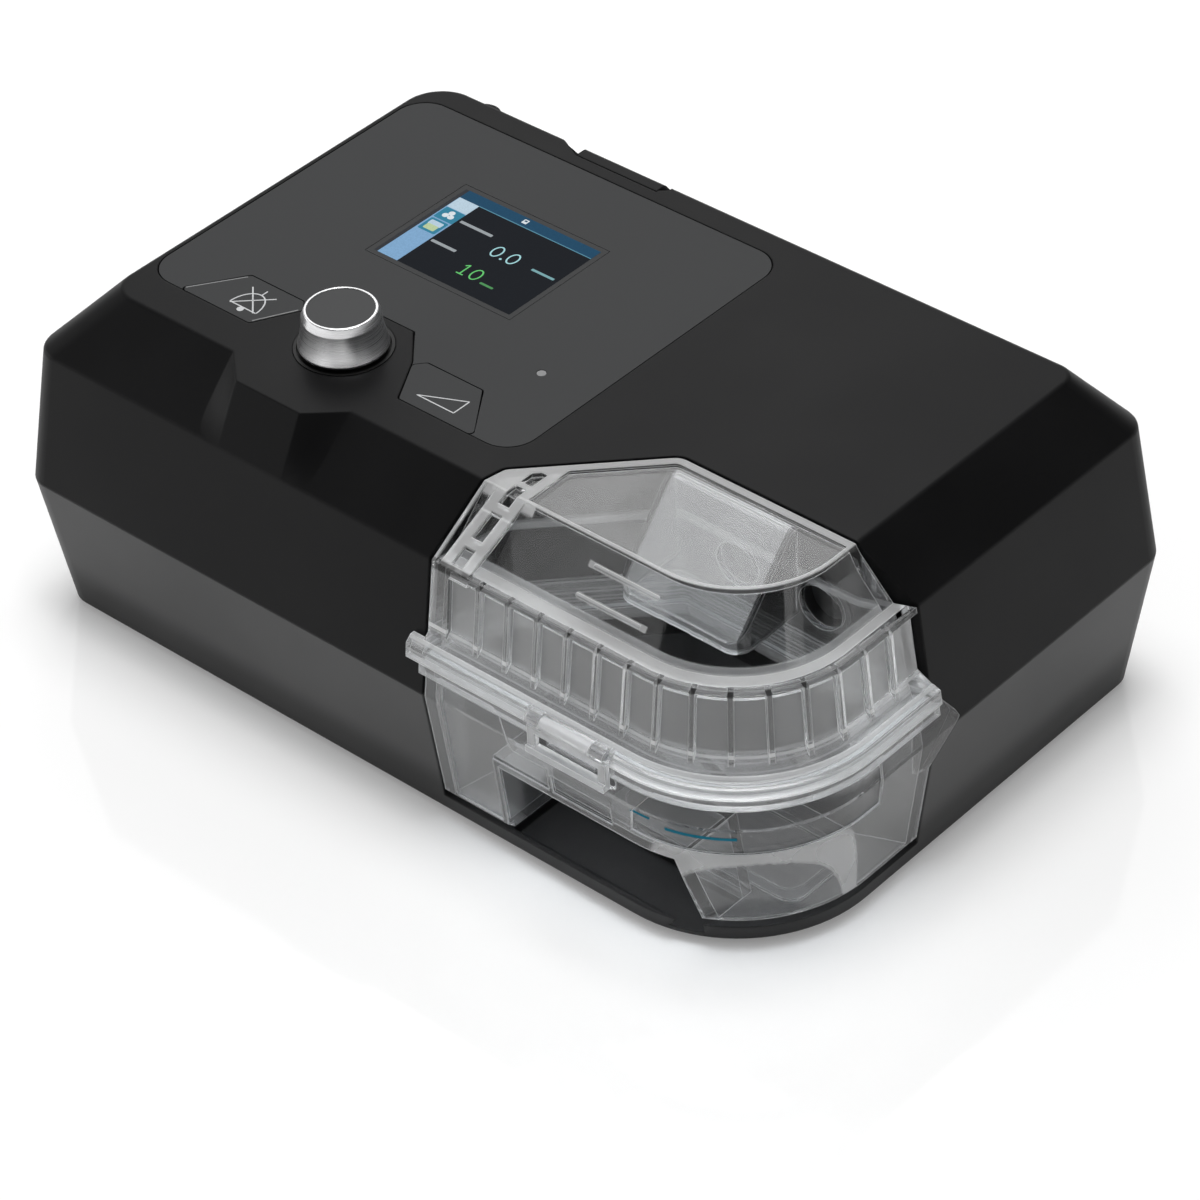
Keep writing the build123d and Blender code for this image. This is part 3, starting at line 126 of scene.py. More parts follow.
# one maths node; plain numbers go into its sockets and node outputs are linked
def calc(tree, operation, *values):
    node = tree.nodes.new("ShaderNodeMath")
    node.operation = operation
    for socket, value in zip(node.inputs, values):
        if isinstance(value, (int, float)):
            socket.default_value = value
        else:
            tree.links.new(value, socket)
    return node.outputs[0]


def times(tree, first, *others):
    for other in others:
        first = calc(tree, "MULTIPLY", first, other)
    return first


def mostOf(tree, first, *others):
    for other in others:
        first = calc(tree, "MAXIMUM", first, other)
    return first


# a value carried from one range to another, with soft ends unless it is to be straight
def span(tree, value, low, high, atLow=0.0, atHigh=1.0, straight=False):
    node = tree.nodes.new("ShaderNodeMapRange")
    node.interpolation_type = "LINEAR" if straight else "SMOOTHSTEP"
    for name, number in (("From Min", low), ("From Max", high), ("To Min", atLow), ("To Max", atHigh)):
        node.inputs[name].default_value = number
    tree.links.new(value, node.inputs["Value"])
    return node.outputs["Result"]


# 1 between two values and 0 outside them, with soft ends
def band(tree, value, low, high, soft=0.3):
    return times(tree, span(tree, value, low - soft, low + soft),
                 span(tree, value, high - soft, high + soft, 1.0, 0.0))


# the cosine between two directions, each a fixed one or a node's output
def agreement(tree, first, second):
    node = tree.nodes.new("ShaderNodeVectorMath")
    node.operation = "DOT_PRODUCT"
    for socket, value in zip(node.inputs, (first, second)):
        if isinstance(value, tuple):
            socket.default_value = Vector(value).normalized()
        else:
            tree.links.new(value, socket)
    return node.outputs["Value"]


def axesOf(tree, vector):
    parts = tree.nodes.new("ShaderNodeSeparateXYZ")
    tree.links.new(vector, parts.inputs[0])
    return [parts.outputs[axis] for axis in "XYZ"]


# the room: white to the lens, and in reflections and through clear parts bright on one side and low down
def makeWorld(look):
    world = bpy.data.worlds.new("room")
    scene.world = world
    world.use_nodes = True
    tree = world.node_tree
    tree.nodes.clear()
    out = tree.nodes.new("ShaderNodeOutputWorld")
    path = tree.nodes.new("ShaderNodeLightPath")
    place = tree.nodes.new("ShaderNodeTexCoord").outputs["Generated"]
    height = axesOf(tree, place)[2]
    bright = span(tree, agreement(tree, place, look["brightSide"]), *look["brightEdge"],
                  look["dimLevel"], look["brightLevel"])
    horizon = times(tree, span(tree, height, *look["horizonEdge"], 1.0, 0.0),
                    span(tree, agreement(tree, place, look["darkSide"]), *look["darkEdge"],
                         1.0, look["darkLevel"]))
    bent = mostOf(tree, path.outputs["Is Glossy Ray"], path.outputs["Is Transmission Ray"])
    soft = times(tree, path.outputs["Is Diffuse Ray"], look["roomLight"])
    room = times(tree, bent, mostOf(tree, bright, horizon))
    level = mostOf(tree, path.outputs["Is Camera Ray"], room, soft)
    sky = tree.nodes.new("ShaderNodeBackground")
    sky.inputs["Color"].default_value = (1, 1, 1, 1)
    tree.links.new(level, sky.inputs["Strength"])
    tree.links.new(sky.outputs[0], out.inputs["Surface"])


# the floor: a pale glossy board that also glows towards the lens, so that its open part is white
def makeFloor(look):
    mesh = bpy.data.meshes.new("floor")
    r = look["floorReach"]
    mesh.from_pydata([(-r, -r, 0), (r, -r, 0), (r, r, 0), (-r, r, 0)], [], [(0, 1, 2, 3)])
    floor = bpy.data.objects.new("floor", mesh)
    scene.collection.objects.link(floor)
    material, tree, shader = startFinish("floorWhite")
    shader.inputs["Base Color"].default_value = (*[look["floorColor"]] * 3, 1)
    shader.inputs["Roughness"].default_value = look["floorGloss"]
    shader.inputs["IOR"].default_value = look["floorIor"]
    shader.inputs["Emission Color"].default_value = (1, 1, 1, 1)
    path = tree.nodes.new("ShaderNodeLightPath")
    seen = mostOf(tree, path.outputs["Is Camera Ray"], path.outputs["Is Glossy Ray"],
                  path.outputs["Is Transmission Ray"])
    reach = tree.nodes.new("ShaderNodeVectorMath")
    reach.operation = "LENGTH"
    tree.links.new(tree.nodes.new("ShaderNodeTexCoord").outputs["Object"], reach.inputs[0])
    glow = span(tree, reach.outputs["Value"], *look["farEdge"], look["floorGlow"], look["farGlow"])
    tree.links.new(times(tree, seen, glow), shader.inputs["Emission Strength"])
    mesh.materials.append(material)


def startFinish(name):
    material = bpy.data.materials.new(name)
    material.use_nodes = True
    tree = material.node_tree
    return material, tree, tree.nodes["Principled BSDF"]


for lampName, lampLook in lampSet.items():
    areaLight(lampName, lampLook)
makeWorld(studioSet)
makeFloor(studioSet)
print("studio set")

# what the finishes share; each of them reads Object coordinates, in metres
patternSet = {
    "spread": (0.3, 0.7),  # noise gathers about a half, so tones run between these two of its values
    "detail": 2.0,
    "grainDetail": 3.0,
    "plasticCloud": 22.0,  # scale of the slow unevenness of moulded plastic
    "plasticWander": 0.03,  # how far the roughness wanders to each side
    "metalWander": 0.04,
    "foamRough": 0.95,
    "edgeSamples": 6,
}


# Object coordinates, moved so that the centre is at zero and then scaled
def objectPlace(tree, scale=(1, 1, 1), centre=(0, 0, 0)):
    place = tree.nodes.new("ShaderNodeTexCoord")
    turn = tree.nodes.new("ShaderNodeMapping")
    turn.inputs["Scale"].default_value = scale
    turn.inputs["Location"].default_value = [-c * s for c, s in zip(centre, scale)]
    tree.links.new(place.outputs["Object"], turn.inputs["Vector"])
    return turn.outputs["Vector"]


def pattern(tree, vector, scale, detail=patternSet["detail"], kind="ShaderNodeTexNoise"):
    texture = tree.nodes.new(kind)
    texture.inputs["Scale"].default_value = scale
    if "Detail" in texture.inputs:
        texture.inputs["Detail"].default_value = detail
    tree.links.new(vector, texture.inputs["Vector"])
    return texture.outputs["Distance" if kind == "ShaderNodeTexVoronoi" else "Fac"]


# a pattern's usual values carried to a range
def spread(tree, source, low=0.0, high=1.0):
    return span(tree, source, *patternSet["spread"], low, high)


def blendColors(tree, factor, first, second):
    node = tree.nodes.new("ShaderNodeMix")
    node.data_type = "RGBA"
    for socket, color in ((node.inputs["A"], first), (node.inputs["B"], second)):
        if isinstance(color, tuple):
            socket.default_value = (*color, 1)
        else:
            tree.links.new(color, socket)
    tree.links.new(factor, node.inputs["Factor"])
    return node.outputs["Result"]


def roundedNormal(tree, radius):
    edge = tree.nodes.new("ShaderNodeBevel")
    edge.samples = patternSet["edgeSamples"]
    edge.inputs["Radius"].default_value = radius
    return edge.outputs["Normal"]


# a bump from a height pattern, over normals that are rounded at the edges
def grainBump(tree, shader, source, height, edgeRadius=0.0):
    bump = tree.nodes.new("ShaderNodeBump")
    bump.inputs["Strength"].default_value = 1.0
    bump.inputs["Distance"].default_value = height
    tree.links.new(source, bump.inputs["Height"])
    if edgeRadius:
        tree.links.new(roundedNormal(tree, edgeRadius), bump.inputs["Normal"])
    tree.links.new(bump.outputs["Normal"], shader.inputs["Normal"])


# colour and roughness that follow one pattern: from the colour to its tint, and a little to each side
def unevenFinish(tree, shader, source, look, wander):
    color = blendColors(tree, spread(tree, source), look["color"], look["tint"])
    tree.links.new(color, shader.inputs["Base Color"])
    tree.links.new(spread(tree, source, look["rough"] - wander, look["rough"] + wander),
                   shader.inputs["Roughness"])
    return color


# spark-textured moulded plastic: a fine grain, and a slight unevenness of tone and gloss
def mouldedPlastic(name, look):
    material, tree, shader = startFinish(name)
    place = objectPlace(tree)
    grain = pattern(tree, place, 1.0 / look["grain"], patternSet["grainDetail"])
    cloud = pattern(tree, place, patternSet["plasticCloud"])
    color = unevenFinish(tree, shader, cloud, look, patternSet["plasticWander"])
    if "upper" in look:  # painted sheen: the walls above the foot lip are lighter, standing in for the white floor's reflection in them
        sheenShare = span(tree, axesOf(tree, place)[2], *look["upperEdge"])
        tree.links.new(blendColors(tree, sheenShare, color, look["upper"]), shader.inputs["Base Color"])
    shader.inputs["Specular IOR Level"].default_value = look.get("gloss", 0.5)
    grainBump(tree, shader, grain, look["depth"], look.get("edge", 0.0))
    return material


# the display's window: dull black glass inside a printed border
def displayWindow(name, look):
    material, tree, shader = startFinish(name)
    low, high = (Vector(corner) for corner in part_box("display_lens"))
    x, y, _ = axesOf(tree, objectPlace(tree, centre=(low + high) / 2))
    halfX, halfY = (high.x - low.x) / 2 - look["border"], (high.y - low.y) / 2 - look["border"]
    outX = calc(tree, "SUBTRACT", calc(tree, "ABSOLUTE", x), halfX)
    outY = calc(tree, "SUBTRACT", calc(tree, "ABSOLUTE", y), halfY)
    printed = span(tree, mostOf(tree, outX, outY), -look["printEdge"], look["printEdge"])
    cloud = pattern(tree, objectPlace(tree), look["cloud"])
    glass = blendColors(tree, spread(tree, cloud), look["glass"], look["glassTint"])
    tree.links.new(blendColors(tree, printed, glass, look["print"]), shader.inputs["Base Color"])
    tree.links.new(span(tree, printed, 0.0, 1.0, look["glassRough"], look["printRough"]),
                   shader.inputs["Roughness"])
    shader.inputs["Specular IOR Level"].default_value = look["gloss"]
    grainBump(tree, shader, pattern(tree, objectPlace(tree), look["grain"]), look["depth"])
    return material


# clear plastic that turns milky where the mould is textured or the light runs through an edge: from the
# place in millimetres, hazeOf gives 0 for clear to 1 for milky, and how far painted shade darkens the colour
def clearPlastic(name, look, hazeOf):
    material, tree, shader = startFinish(name)
    haze, shade = hazeOf(tree, look, *axesOf(tree, objectPlace(tree, (1 / mm,) * 3)))
    # an edge, where the rounded normal leaves the face's own, gathers the light
    face = tree.nodes.new("ShaderNodeNewGeometry").outputs["Normal"]
    agree = agreement(tree, roundedNormal(tree, look["edgeReach"]), face)
    haze = mostOf(tree, haze, span(tree, agree, *look["edgeCosines"], look["edgeHaze"], 0.0))
    cloud = pattern(tree, objectPlace(tree), look["cloudScale"])
    uneven = spread(tree, cloud, 1 - look["uneven"], 1 + look["uneven"])
    haze = calc(tree, "MINIMUM", times(tree, haze, uneven), look["mostHaze"])
    tree.links.new(calc(tree, "SUBTRACT", 1.0, haze), shader.inputs["Transmission Weight"])
    body = blendColors(tree, spread(tree, cloud), look["color"], look["tint"])
    # painted shade: where hazeOf asks, the colour is darkened towards the shade colour
    if shade:
        body = blendColors(tree, shade, body, look["shadeColor"])
    tree.links.new(body, shader.inputs["Base Color"])
    shader.inputs["IOR"].default_value = look["ior"]
    tree.links.new(span(tree, haze, 0.0, look["dullHaze"], look["rough"], look["milkyRough"]),
                   shader.inputs["Roughness"])
    wave = pattern(tree, objectPlace(tree), look["waveScale"], look["waveDetail"])
    grainBump(tree, shader, wave, look["ripple"], look["edge"])
    through = tree.nodes.new("ShaderNodeBsdfTransparent")
    through.inputs["Color"].default_value = (*look["through"], 1)
    mix = tree.nodes.new("ShaderNodeMixShader")
    tree.links.new(tree.nodes.new("ShaderNodeLightPath").outputs["Is Shadow Ray"], mix.inputs["Fac"])
    tree.links.new(shader.outputs[0], mix.inputs[1])
    tree.links.new(through.outputs[0], mix.inputs[2])
    tree.links.new(mix.outputs[0], tree.nodes["Material Output"].inputs["Surface"])
    return material


# the chamber's outline in millimetres: its walls turn about a corner and lean in above and below the belt
chamberSet = {
    "corner": (90.5, -43.0),
    "beltZ": 44.2,
    "beltReach": 42.0,
    "wallLean": 0.1286,  # depth per height, above the belt
    "footLean": 0.12,  # and below it
}


# how far a place stands out from the belt's outline, with the lean taken off: the distance from the
# corner, which is the plain depth or width beside it, plus lean times height, less the belt's own reach
def proudOf(tree, x, y, lean):
    c = chamberSet
    right = mostOf(tree, calc(tree, "SUBTRACT", x, c["corner"][0]), 0.0)
    front = mostOf(tree, calc(tree, "SUBTRACT", c["corner"][1], y), 0.0)
    reach = calc(tree, "SQRT", calc(tree, "ADD", times(tree, right, right), times(tree, front, front)))
    return calc(tree, "SUBTRACT", calc(tree, "ADD", reach, lean), c["beltReach"])


# where each part of the lid lies, in millimetres: heights, depths measured out from the belt's outline,
# and for the bevel its foot, as depth and height, and its normal's two parts
lidPlaces = {
    "ribs": (66.3, 84.4), "wallFace": (-3.6, -3.0), "ribFace": (-1.0, -0.6),
    "feet": (66.3, 67.6),
    "flange": (56.0, 66.3), "edges": (56.7, 59.4, 62.2, 65.9), "edgeHalf": 0.35,
    "ledge": (84.4, 86.5), "ledgeFace": (-1.7, -1.4),
    "top": (101.2, 101.7), "rim": (102.2, 102.4),
    "bevelFoot": (-79.6, 86.2), "bevelNormal": (0.6817, 0.7315),
    "ladderFace": (-0.7, -0.4), "ladderRight": (41.0, 41.6), "ladderLow": (86.0, 86.4),
    "ridges": ((-65.9, 97.35), (-70.95, 90.5)), "ridgeSides": (62.0, 85.0), "ridgeReach": (1.1, 1.5),
    # heights of the painted shadow along the ledge's outer part
    "slots": (84.1, 86.9), "ledgeShadowSoft": 0.15,
}


def lidHaze(tree, look, x, y, z):
    at = lidPlaces
    lean = times(tree, calc(tree, "SUBTRACT", z, chamberSet["beltZ"]), chamberSet["wallLean"])
    proud = proudOf(tree, x, y, lean)
    walls = times(tree, band(tree, z, *at["ribs"]), span(tree, proud, *at["wallFace"]))
    ribs = times(tree, walls, span(tree, proud, *at["ribFace"], look["wall"], look["rib"]))
    feet = times(tree, band(tree, z, *at["feet"]), span(tree, proud, *at["ribFace"], 0.0, look["foot"]))
    half = at["edgeHalf"]
    edges = mostOf(tree, *[band(tree, z, level - half, level + half) for level in at["edges"]])
    flange = times(tree, band(tree, z, *at["flange"]),
                   span(tree, edges, 0.0, 1.0, look["flange"], look["flangeEdge"]))
    inner = span(tree, proud, *at["ledgeFace"], 1.0, 0.0)
    ledge = times(tree, band(tree, z, *at["ledge"]), inner, look["ledge"])
    top = times(tree, span(tree, z, *at["top"]), look["top"])
    rim = times(tree, span(tree, z, *at["rim"]), look["rim"])
    # the ladder frame stands out to the bevel's plane, and the rest of the bevel lies behind it
    rise = times(tree, calc(tree, "SUBTRACT", z, at["bevelFoot"][1]), at["bevelNormal"][1])
    run = times(tree, calc(tree, "SUBTRACT", y, at["bevelFoot"][0]), at["bevelNormal"][0])
    outer = span(tree, calc(tree, "SUBTRACT", rise, run), *at["ladderFace"])
    ladder = times(tree, outer, span(tree, x, *at["ladderRight"], 1.0, 0.0),
                   span(tree, z, *at["ladderLow"]), look["ladder"])
    near = [calc(tree, "ADD", calc(tree, "ABSOLUTE", calc(tree, "SUBTRACT", y, ridgeY)),
                 calc(tree, "ABSOLUTE", calc(tree, "SUBTRACT", z, ridgeZ)))
            for ridgeY, ridgeZ in at["ridges"]]
    ridges = times(tree, band(tree, x, *at["ridgeSides"]), look["ridge"],
                   span(tree, calc(tree, "MINIMUM", *near), *at["ridgeReach"], 1.0, 0.0))
    # painted shadow: the ledge's outer part is darkened, standing in for the shade in the pockets beneath it
    slots = times(tree, band(tree, z, *at["slots"], at["ledgeShadowSoft"]),
                  span(tree, proud, *at["ledgeFace"], 0.0, look["slot"]))
    return mostOf(tree, ribs, feet, flange, ledge, top, rim, ladder, ridges, look["plain"]), slots


# the same for the tub: its raised frame, the window inside it, the leg at the left and the floor
tubPlaces = {
    "frame": (-0.55, -0.25), "frameLine": (-0.62, -0.15), "lineSoft": 0.06, "lineHeights": (10.0, 53.0),
    "window": (-1.3, -0.4), "windowSoft": 0.1, "windowHeights": (8.0, 50.0),
    "legRight": (54.0, 58.0), "legFront": (-72.0, -76.0),
    "flange": (52.6, 56.6), "foot": (8.5, 11.5), "footFace": (-2.6, -2.2),
}


def tubHaze(tree, look, x, y, z):
    at, belt = tubPlaces, chamberSet["beltZ"]
    upper = times(tree, mostOf(tree, calc(tree, "SUBTRACT", z, belt), 0.0), chamberSet["wallLean"])
    lower = times(tree, mostOf(tree, calc(tree, "SUBTRACT", belt, z), 0.0), chamberSet["footLean"])
    proud = proudOf(tree, x, y, calc(tree, "ADD", upper, lower))
    border = span(tree, proud, *at["frame"], 0.0, look["border"])
    frameLine = times(tree, band(tree, proud, *at["frameLine"], at["lineSoft"]), look["frameLine"],
                      band(tree, z, *at["lineHeights"]))
    window = times(tree, band(tree, proud, *at["window"], at["windowSoft"]),
                   span(tree, z, *at["windowHeights"], look["windowLow"], look["windowHigh"], True))
    leg = times(tree, span(tree, x, *at["legRight"], 1.0, 0.0), span(tree, y, *at["legFront"]), look["leg"])
    flange = times(tree, band(tree, z, *at["flange"]), look["flange"])
    foot = times(tree, span(tree, z, *at["foot"], look["foot"], 0.0),
                 span(tree, proud, *at["footFace"], look["floor"], 1.0))
    return mostOf(tree, border, frameLine, window, leg, flange, foot, look["plain"]), None


# painted shade: the splash chute's two side walls are seen along their length, so their colour is darkened to
# read dark; its lip is milky and reads bright
def chuteHaze(tree, look, x, y, z):
    low, high = (Vector(corner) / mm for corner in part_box("splash_chute"))
    aside = calc(tree, "ABSOLUTE", calc(tree, "SUBTRACT", x, (low.x + high.x) / 2))
    half = (high.x - low.x) / 2
    outer, inner = look["sideWall"]
    side = span(tree, aside, half - inner, half - outer, 0.0, look["side"])
    lip = span(tree, z, *(low.z + rise for rise in look["lipRise"]), look["lip"], 0.0)
    return mostOf(tree, lip, span(tree, side, 0.0, 1.0, look["plain"], look["sidePlain"])), side


# the latch is evenly milky, a little more so higher up
def latchHaze(tree, look, x, y, z):
    return span(tree, z, *look["rise"], look["plain"], look["highPlain"], True), None


# metal turned on a lathe: tool marks run round the axis, so the pattern reads only radius and height
def turnedMetal(name, look):
    material, tree, shader = startFinish(name)
    shader.inputs["Metallic"].default_value = 1.0
    x, y, z = axesOf(tree, objectPlace(tree, centre=look["axis"]))
    radius = calc(tree, "SQRT", calc(tree, "ADD", times(tree, x, x), times(tree, y, y)))
    joined = tree.nodes.new("ShaderNodeCombineXYZ")
    tree.links.new(radius, joined.inputs["X"])
    tree.links.new(z, joined.inputs["Y"])
    marks = pattern(tree, joined.outputs[0], 1.0 / look["pitch"])
    unevenFinish(tree, shader, marks, look, patternSet["metalWander"])
    grainBump(tree, shader, marks, look["depth"], look["edge"])
    return material


# sheet metal with fine lines along one direction
def brushedMetal(name, look):
    material, tree, shader = startFinish(name)
    shader.inputs["Metallic"].default_value = 1.0
    marks = pattern(tree, objectPlace(tree, look["stretch"]), look["scale"])
    unevenFinish(tree, shader, marks, look, patternSet["metalWander"])
    grainBump(tree, shader, marks, look["depth"])
    return material


# open-cell foam: small pores in a dull body, darker with painted shade inside them
def porousFoam(name, look):
    material, tree, shader = startFinish(name)
    cells = pattern(tree, objectPlace(tree), 1.0 / look["cell"], kind="ShaderNodeTexVoronoi")
    tree.links.new(blendColors(tree, spread(tree, cells), look["poreShade"], look["color"]),
                   shader.inputs["Base Color"])
    shader.inputs["Roughness"].default_value = patternSet["foamRough"]
    grainBump(tree, shader, cells, look["depth"])
    return material


# rubber and silicone: dull, with a fine dusty grain
def softRubber(name, look):
    material, tree, shader = startFinish(name)
    grain = pattern(tree, objectPlace(tree), 1.0 / look["grain"])
    tree.links.new(blendColors(tree, spread(tree, grain), look["color"], look["tint"]),
                   shader.inputs["Base Color"])
    shader.inputs["Roughness"].default_value = look["rough"]
    grainBump(tree, shader, grain, look["depth"])
    return material


inkSet = {
    "spread": (0.35, 0.65),
    "detail": 1.0,
    "fade": 0.9,  # the darker dots' share of the colour
    "rough": 0.6,
    "gloss": 0.03,
    "unlit": (0.004, 0.004, 0.005, 1),  # what a lit mark looks like without its light
}


# printed or lit marks: a colour with a faint dot grid, which glows where it is part of the display
def markInk(name, color, grain, glow=0.0):
    material, tree, shader = startFinish(name)
    dots = span(tree, pattern(tree, objectPlace(tree), 1.0 / grain, inkSet["detail"]), *inkSet["spread"])
    tone = blendColors(tree, dots, color, tuple(inkSet["fade"] * c for c in color))
    shader.inputs["Roughness"].default_value = inkSet["rough"]
    shader.inputs["Specular IOR Level"].default_value = inkSet["gloss"]
    if glow:
        shader.inputs["Base Color"].default_value = inkSet["unlit"]
        tree.links.new(tone, shader.inputs["Emission Color"])
        shader.inputs["Emission Strength"].default_value = glow
    else:
        tree.links.new(tone, shader.inputs["Base Color"])
    return material


knobLow, knobHigh = (Vector(corner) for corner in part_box("knob_body"))
knobAxis = tuple((knobLow + knobHigh) / 2)
clearLook = {
    "color": (0.95, 0.955, 0.96), "tint": (0.91, 0.92, 0.925), "shadeColor": (0.1, 0.1, 0.1),
    "through": (0.84, 0.85, 0.86), "ior": 1.33, "rough": 0.03, "milkyRough": 0.3,
    "mostHaze": 0.95, "dullHaze": 0.6,  # the haze is at most the first, and fully dull from the second
    "edgeReach": 0.00045, "edgeHaze": 0.6, "edgeCosines": (0.84, 0.99),
    "cloudScale": 28.0, "uneven": 0.12,
    "waveScale": 70.0, "waveDetail": 1.0, "ripple": 0.000012, "edge": 0.0004,
}

finishes = {
    "casing": mouldedPlastic("casingBlack", {
        "color": (0.0045, 0.0045, 0.0048), "tint": (0.0058, 0.0058, 0.0062), "rough": 0.45, "gloss": 0.11,
        "grain": 0.0003, "depth": 0.000012, "edge": 0.0008}),
    "lowerCasing": mouldedPlastic("casingLower", {
        "color": (0.0045, 0.0045, 0.0048), "tint": (0.006, 0.006, 0.0064), "rough": 0.5, "gloss": 0.42,
        # painted sheen: the lighter colour above the foot lip stands in for the floor's reflection
        "upper": (0.052, 0.052, 0.053), "upperEdge": (0.009, 0.02),
        "grain": 0.0003, "depth": 0.000012, "edge": 0.0008}),
    "panel": mouldedPlastic("panelCharcoal", {
        "color": (0.036, 0.037, 0.038), "tint": (0.04, 0.041, 0.042), "rough": 0.5, "gloss": 0.12,
        "grain": 0.00022, "depth": 0.000008, "edge": 0.00025}),
    "trim": mouldedPlastic("trimBlack", {
        "color": (0.003, 0.003, 0.003), "tint": (0.004, 0.004, 0.004), "rough": 0.4, "gloss": 0.2,
        "grain": 0.0003, "depth": 0.000004}),
    "inlay": mouldedPlastic("knobInlay", {
        "color": (0.05, 0.051, 0.052), "tint": (0.056, 0.057, 0.058), "rough": 0.5, "gloss": 0.15,
        "grain": 0.0002, "depth": 0.000006}),
    "lens": displayWindow("screenGlass", {
        "border": 0.0016, "printEdge": 0.00005,
        "glass": (0.011, 0.013, 0.018), "glassTint": (0.013, 0.015, 0.02), "glassRough": 0.45,
        "print": (0.038, 0.039, 0.04), "printRough": 0.5, "gloss": 0.12,
        "cloud": 60.0, "grain": 3000.0, "depth": 0.000003}),
    "lid": clearPlastic("clearLid", {
        # slot: how far the painted shadow under the ledge darkens the colour
        **clearLook, "plain": 0.0, "wall": 0.3, "rib": 0.2, "foot": 0.85, "flange": 0.16, "flangeEdge": 0.4,
        "ledge": 0.34, "top": 0.05, "rim": 0.32, "ladder": 0.42, "ridge": 0.36, "slot": 0.7}, lidHaze),
    "tub": clearPlastic("clearTub", {
        **clearLook, "plain": 0.003, "border": 0.1, "frameLine": 0.5, "windowLow": 0.16, "windowHigh": 0.03,
        "leg": 0.12, "flange": 0.25, "foot": 0.5, "floor": 0.04}, tubHaze),
    "chute": clearPlastic("clearChute", {
        # side: how far the painted shade darkens the chute's side walls
        **clearLook, "plain": 0.13, "sidePlain": 0.065, "side": 0.88, "sideWall": (1.5, 1.9),
        "lip": 0.5, "lipRise": (0.6, 1.2), "ripple": 0.000001}, chuteHaze),
    "clearLatch": clearPlastic("clearLatch", {
        **clearLook, "plain": 0.34, "highPlain": 0.408, "rise": (60.0, 110.0), "edge": 0.0003}, latchHaze),
    "knobAlloy": turnedMetal("knobAlloy", {
        "color": (0.76, 0.76, 0.77), "tint": (0.84, 0.84, 0.85), "rough": 0.29, "pitch": 0.0001,
        "axis": knobAxis, "depth": 0.0000006, "edge": 0.0004}),
    "steel": brushedMetal("plainSteel", {
        "color": (0.42, 0.42, 0.44), "tint": (0.52, 0.52, 0.54), "rough": 0.3, "scale": 700.0,
        "stretch": (1.0, 1.0, 8.0), "depth": 0.000004}),
    "heater": brushedMetal("heaterMetal", {
        "color": (0.42, 0.42, 0.44), "tint": (0.5, 0.5, 0.52), "rough": 0.35, "scale": 500.0,
        "stretch": (0.2, 5.0, 1.0), "depth": 0.000006}),
    "basePlate": brushedMetal("drawnSteel", {
        "color": (0.27, 0.27, 0.275), "tint": (0.3, 0.3, 0.305), "rough": 0.34, "scale": 120.0,
        "stretch": (0.15, 4.0, 1.0), "depth": 0.0000015}),
    "silicone": softRubber("paleSilicone", {
        "color": (0.5, 0.52, 0.53), "tint": (0.55, 0.57, 0.58), "rough": 0.55, "grain": 0.0008,
        "depth": 0.00001}),
    "seal": softRubber("portSeal", {
        "color": (0.012, 0.0125, 0.013), "tint": (0.018, 0.0185, 0.019), "rough": 0.5, "grain": 0.0008,
        "depth": 0.00001}),
    "sensor": mouldedPlastic("sensorGlass", {
        "color": (0.16, 0.162, 0.165), "tint": (0.2, 0.202, 0.205), "rough": 0.25, "gloss": 0.3,
        "grain": 0.0006, "depth": 0.000002}),
    "rubber": softRubber("footRubber", {
        "color": (0.012, 0.012, 0.012), "tint": (0.02, 0.02, 0.02), "rough": 0.8, "grain": 0.0005,
        "depth": 0.00003}),
    "foam": porousFoam("openFoam", {
        # pore: the painted shade in the foam's pores
        "color": (0.1, 0.1, 0.105), "poreShade": (0.02, 0.02, 0.02), "cell": 0.0011, "depth": 0.0004}),
    "duct": mouldedPlastic("ductGrey", {
        "color": (0.12, 0.125, 0.13), "tint": (0.14, 0.145, 0.15), "rough": 0.5, "grain": 0.0005,
        "depth": 0.00001}),
    "impeller": mouldedPlastic("impellerWhite", {
        "color": (0.6, 0.6, 0.58), "tint": (0.65, 0.65, 0.63), "rough": 0.4, "grain": 0.0006,
        "depth": 0.000008}),
    "board": mouldedPlastic("boardGreen", {
        "color": (0.01, 0.08, 0.03), "tint": (0.015, 0.11, 0.04), "rough": 0.3, "grain": 0.0011,
        "depth": 0.000015}),
    "parts": mouldedPlastic("partBlack", {
        "color": (0.015, 0.015, 0.015), "tint": (0.025, 0.025, 0.025), "rough": 0.45, "grain": 0.0006,
        "depth": 0.00001}),
    "card": mouldedPlastic("cardBlue", {
        "color": (0.01, 0.03, 0.1), "tint": (0.012, 0.035, 0.12), "rough": 0.35, "grain": 0.0005,
        "depth": 0.000006}),
}

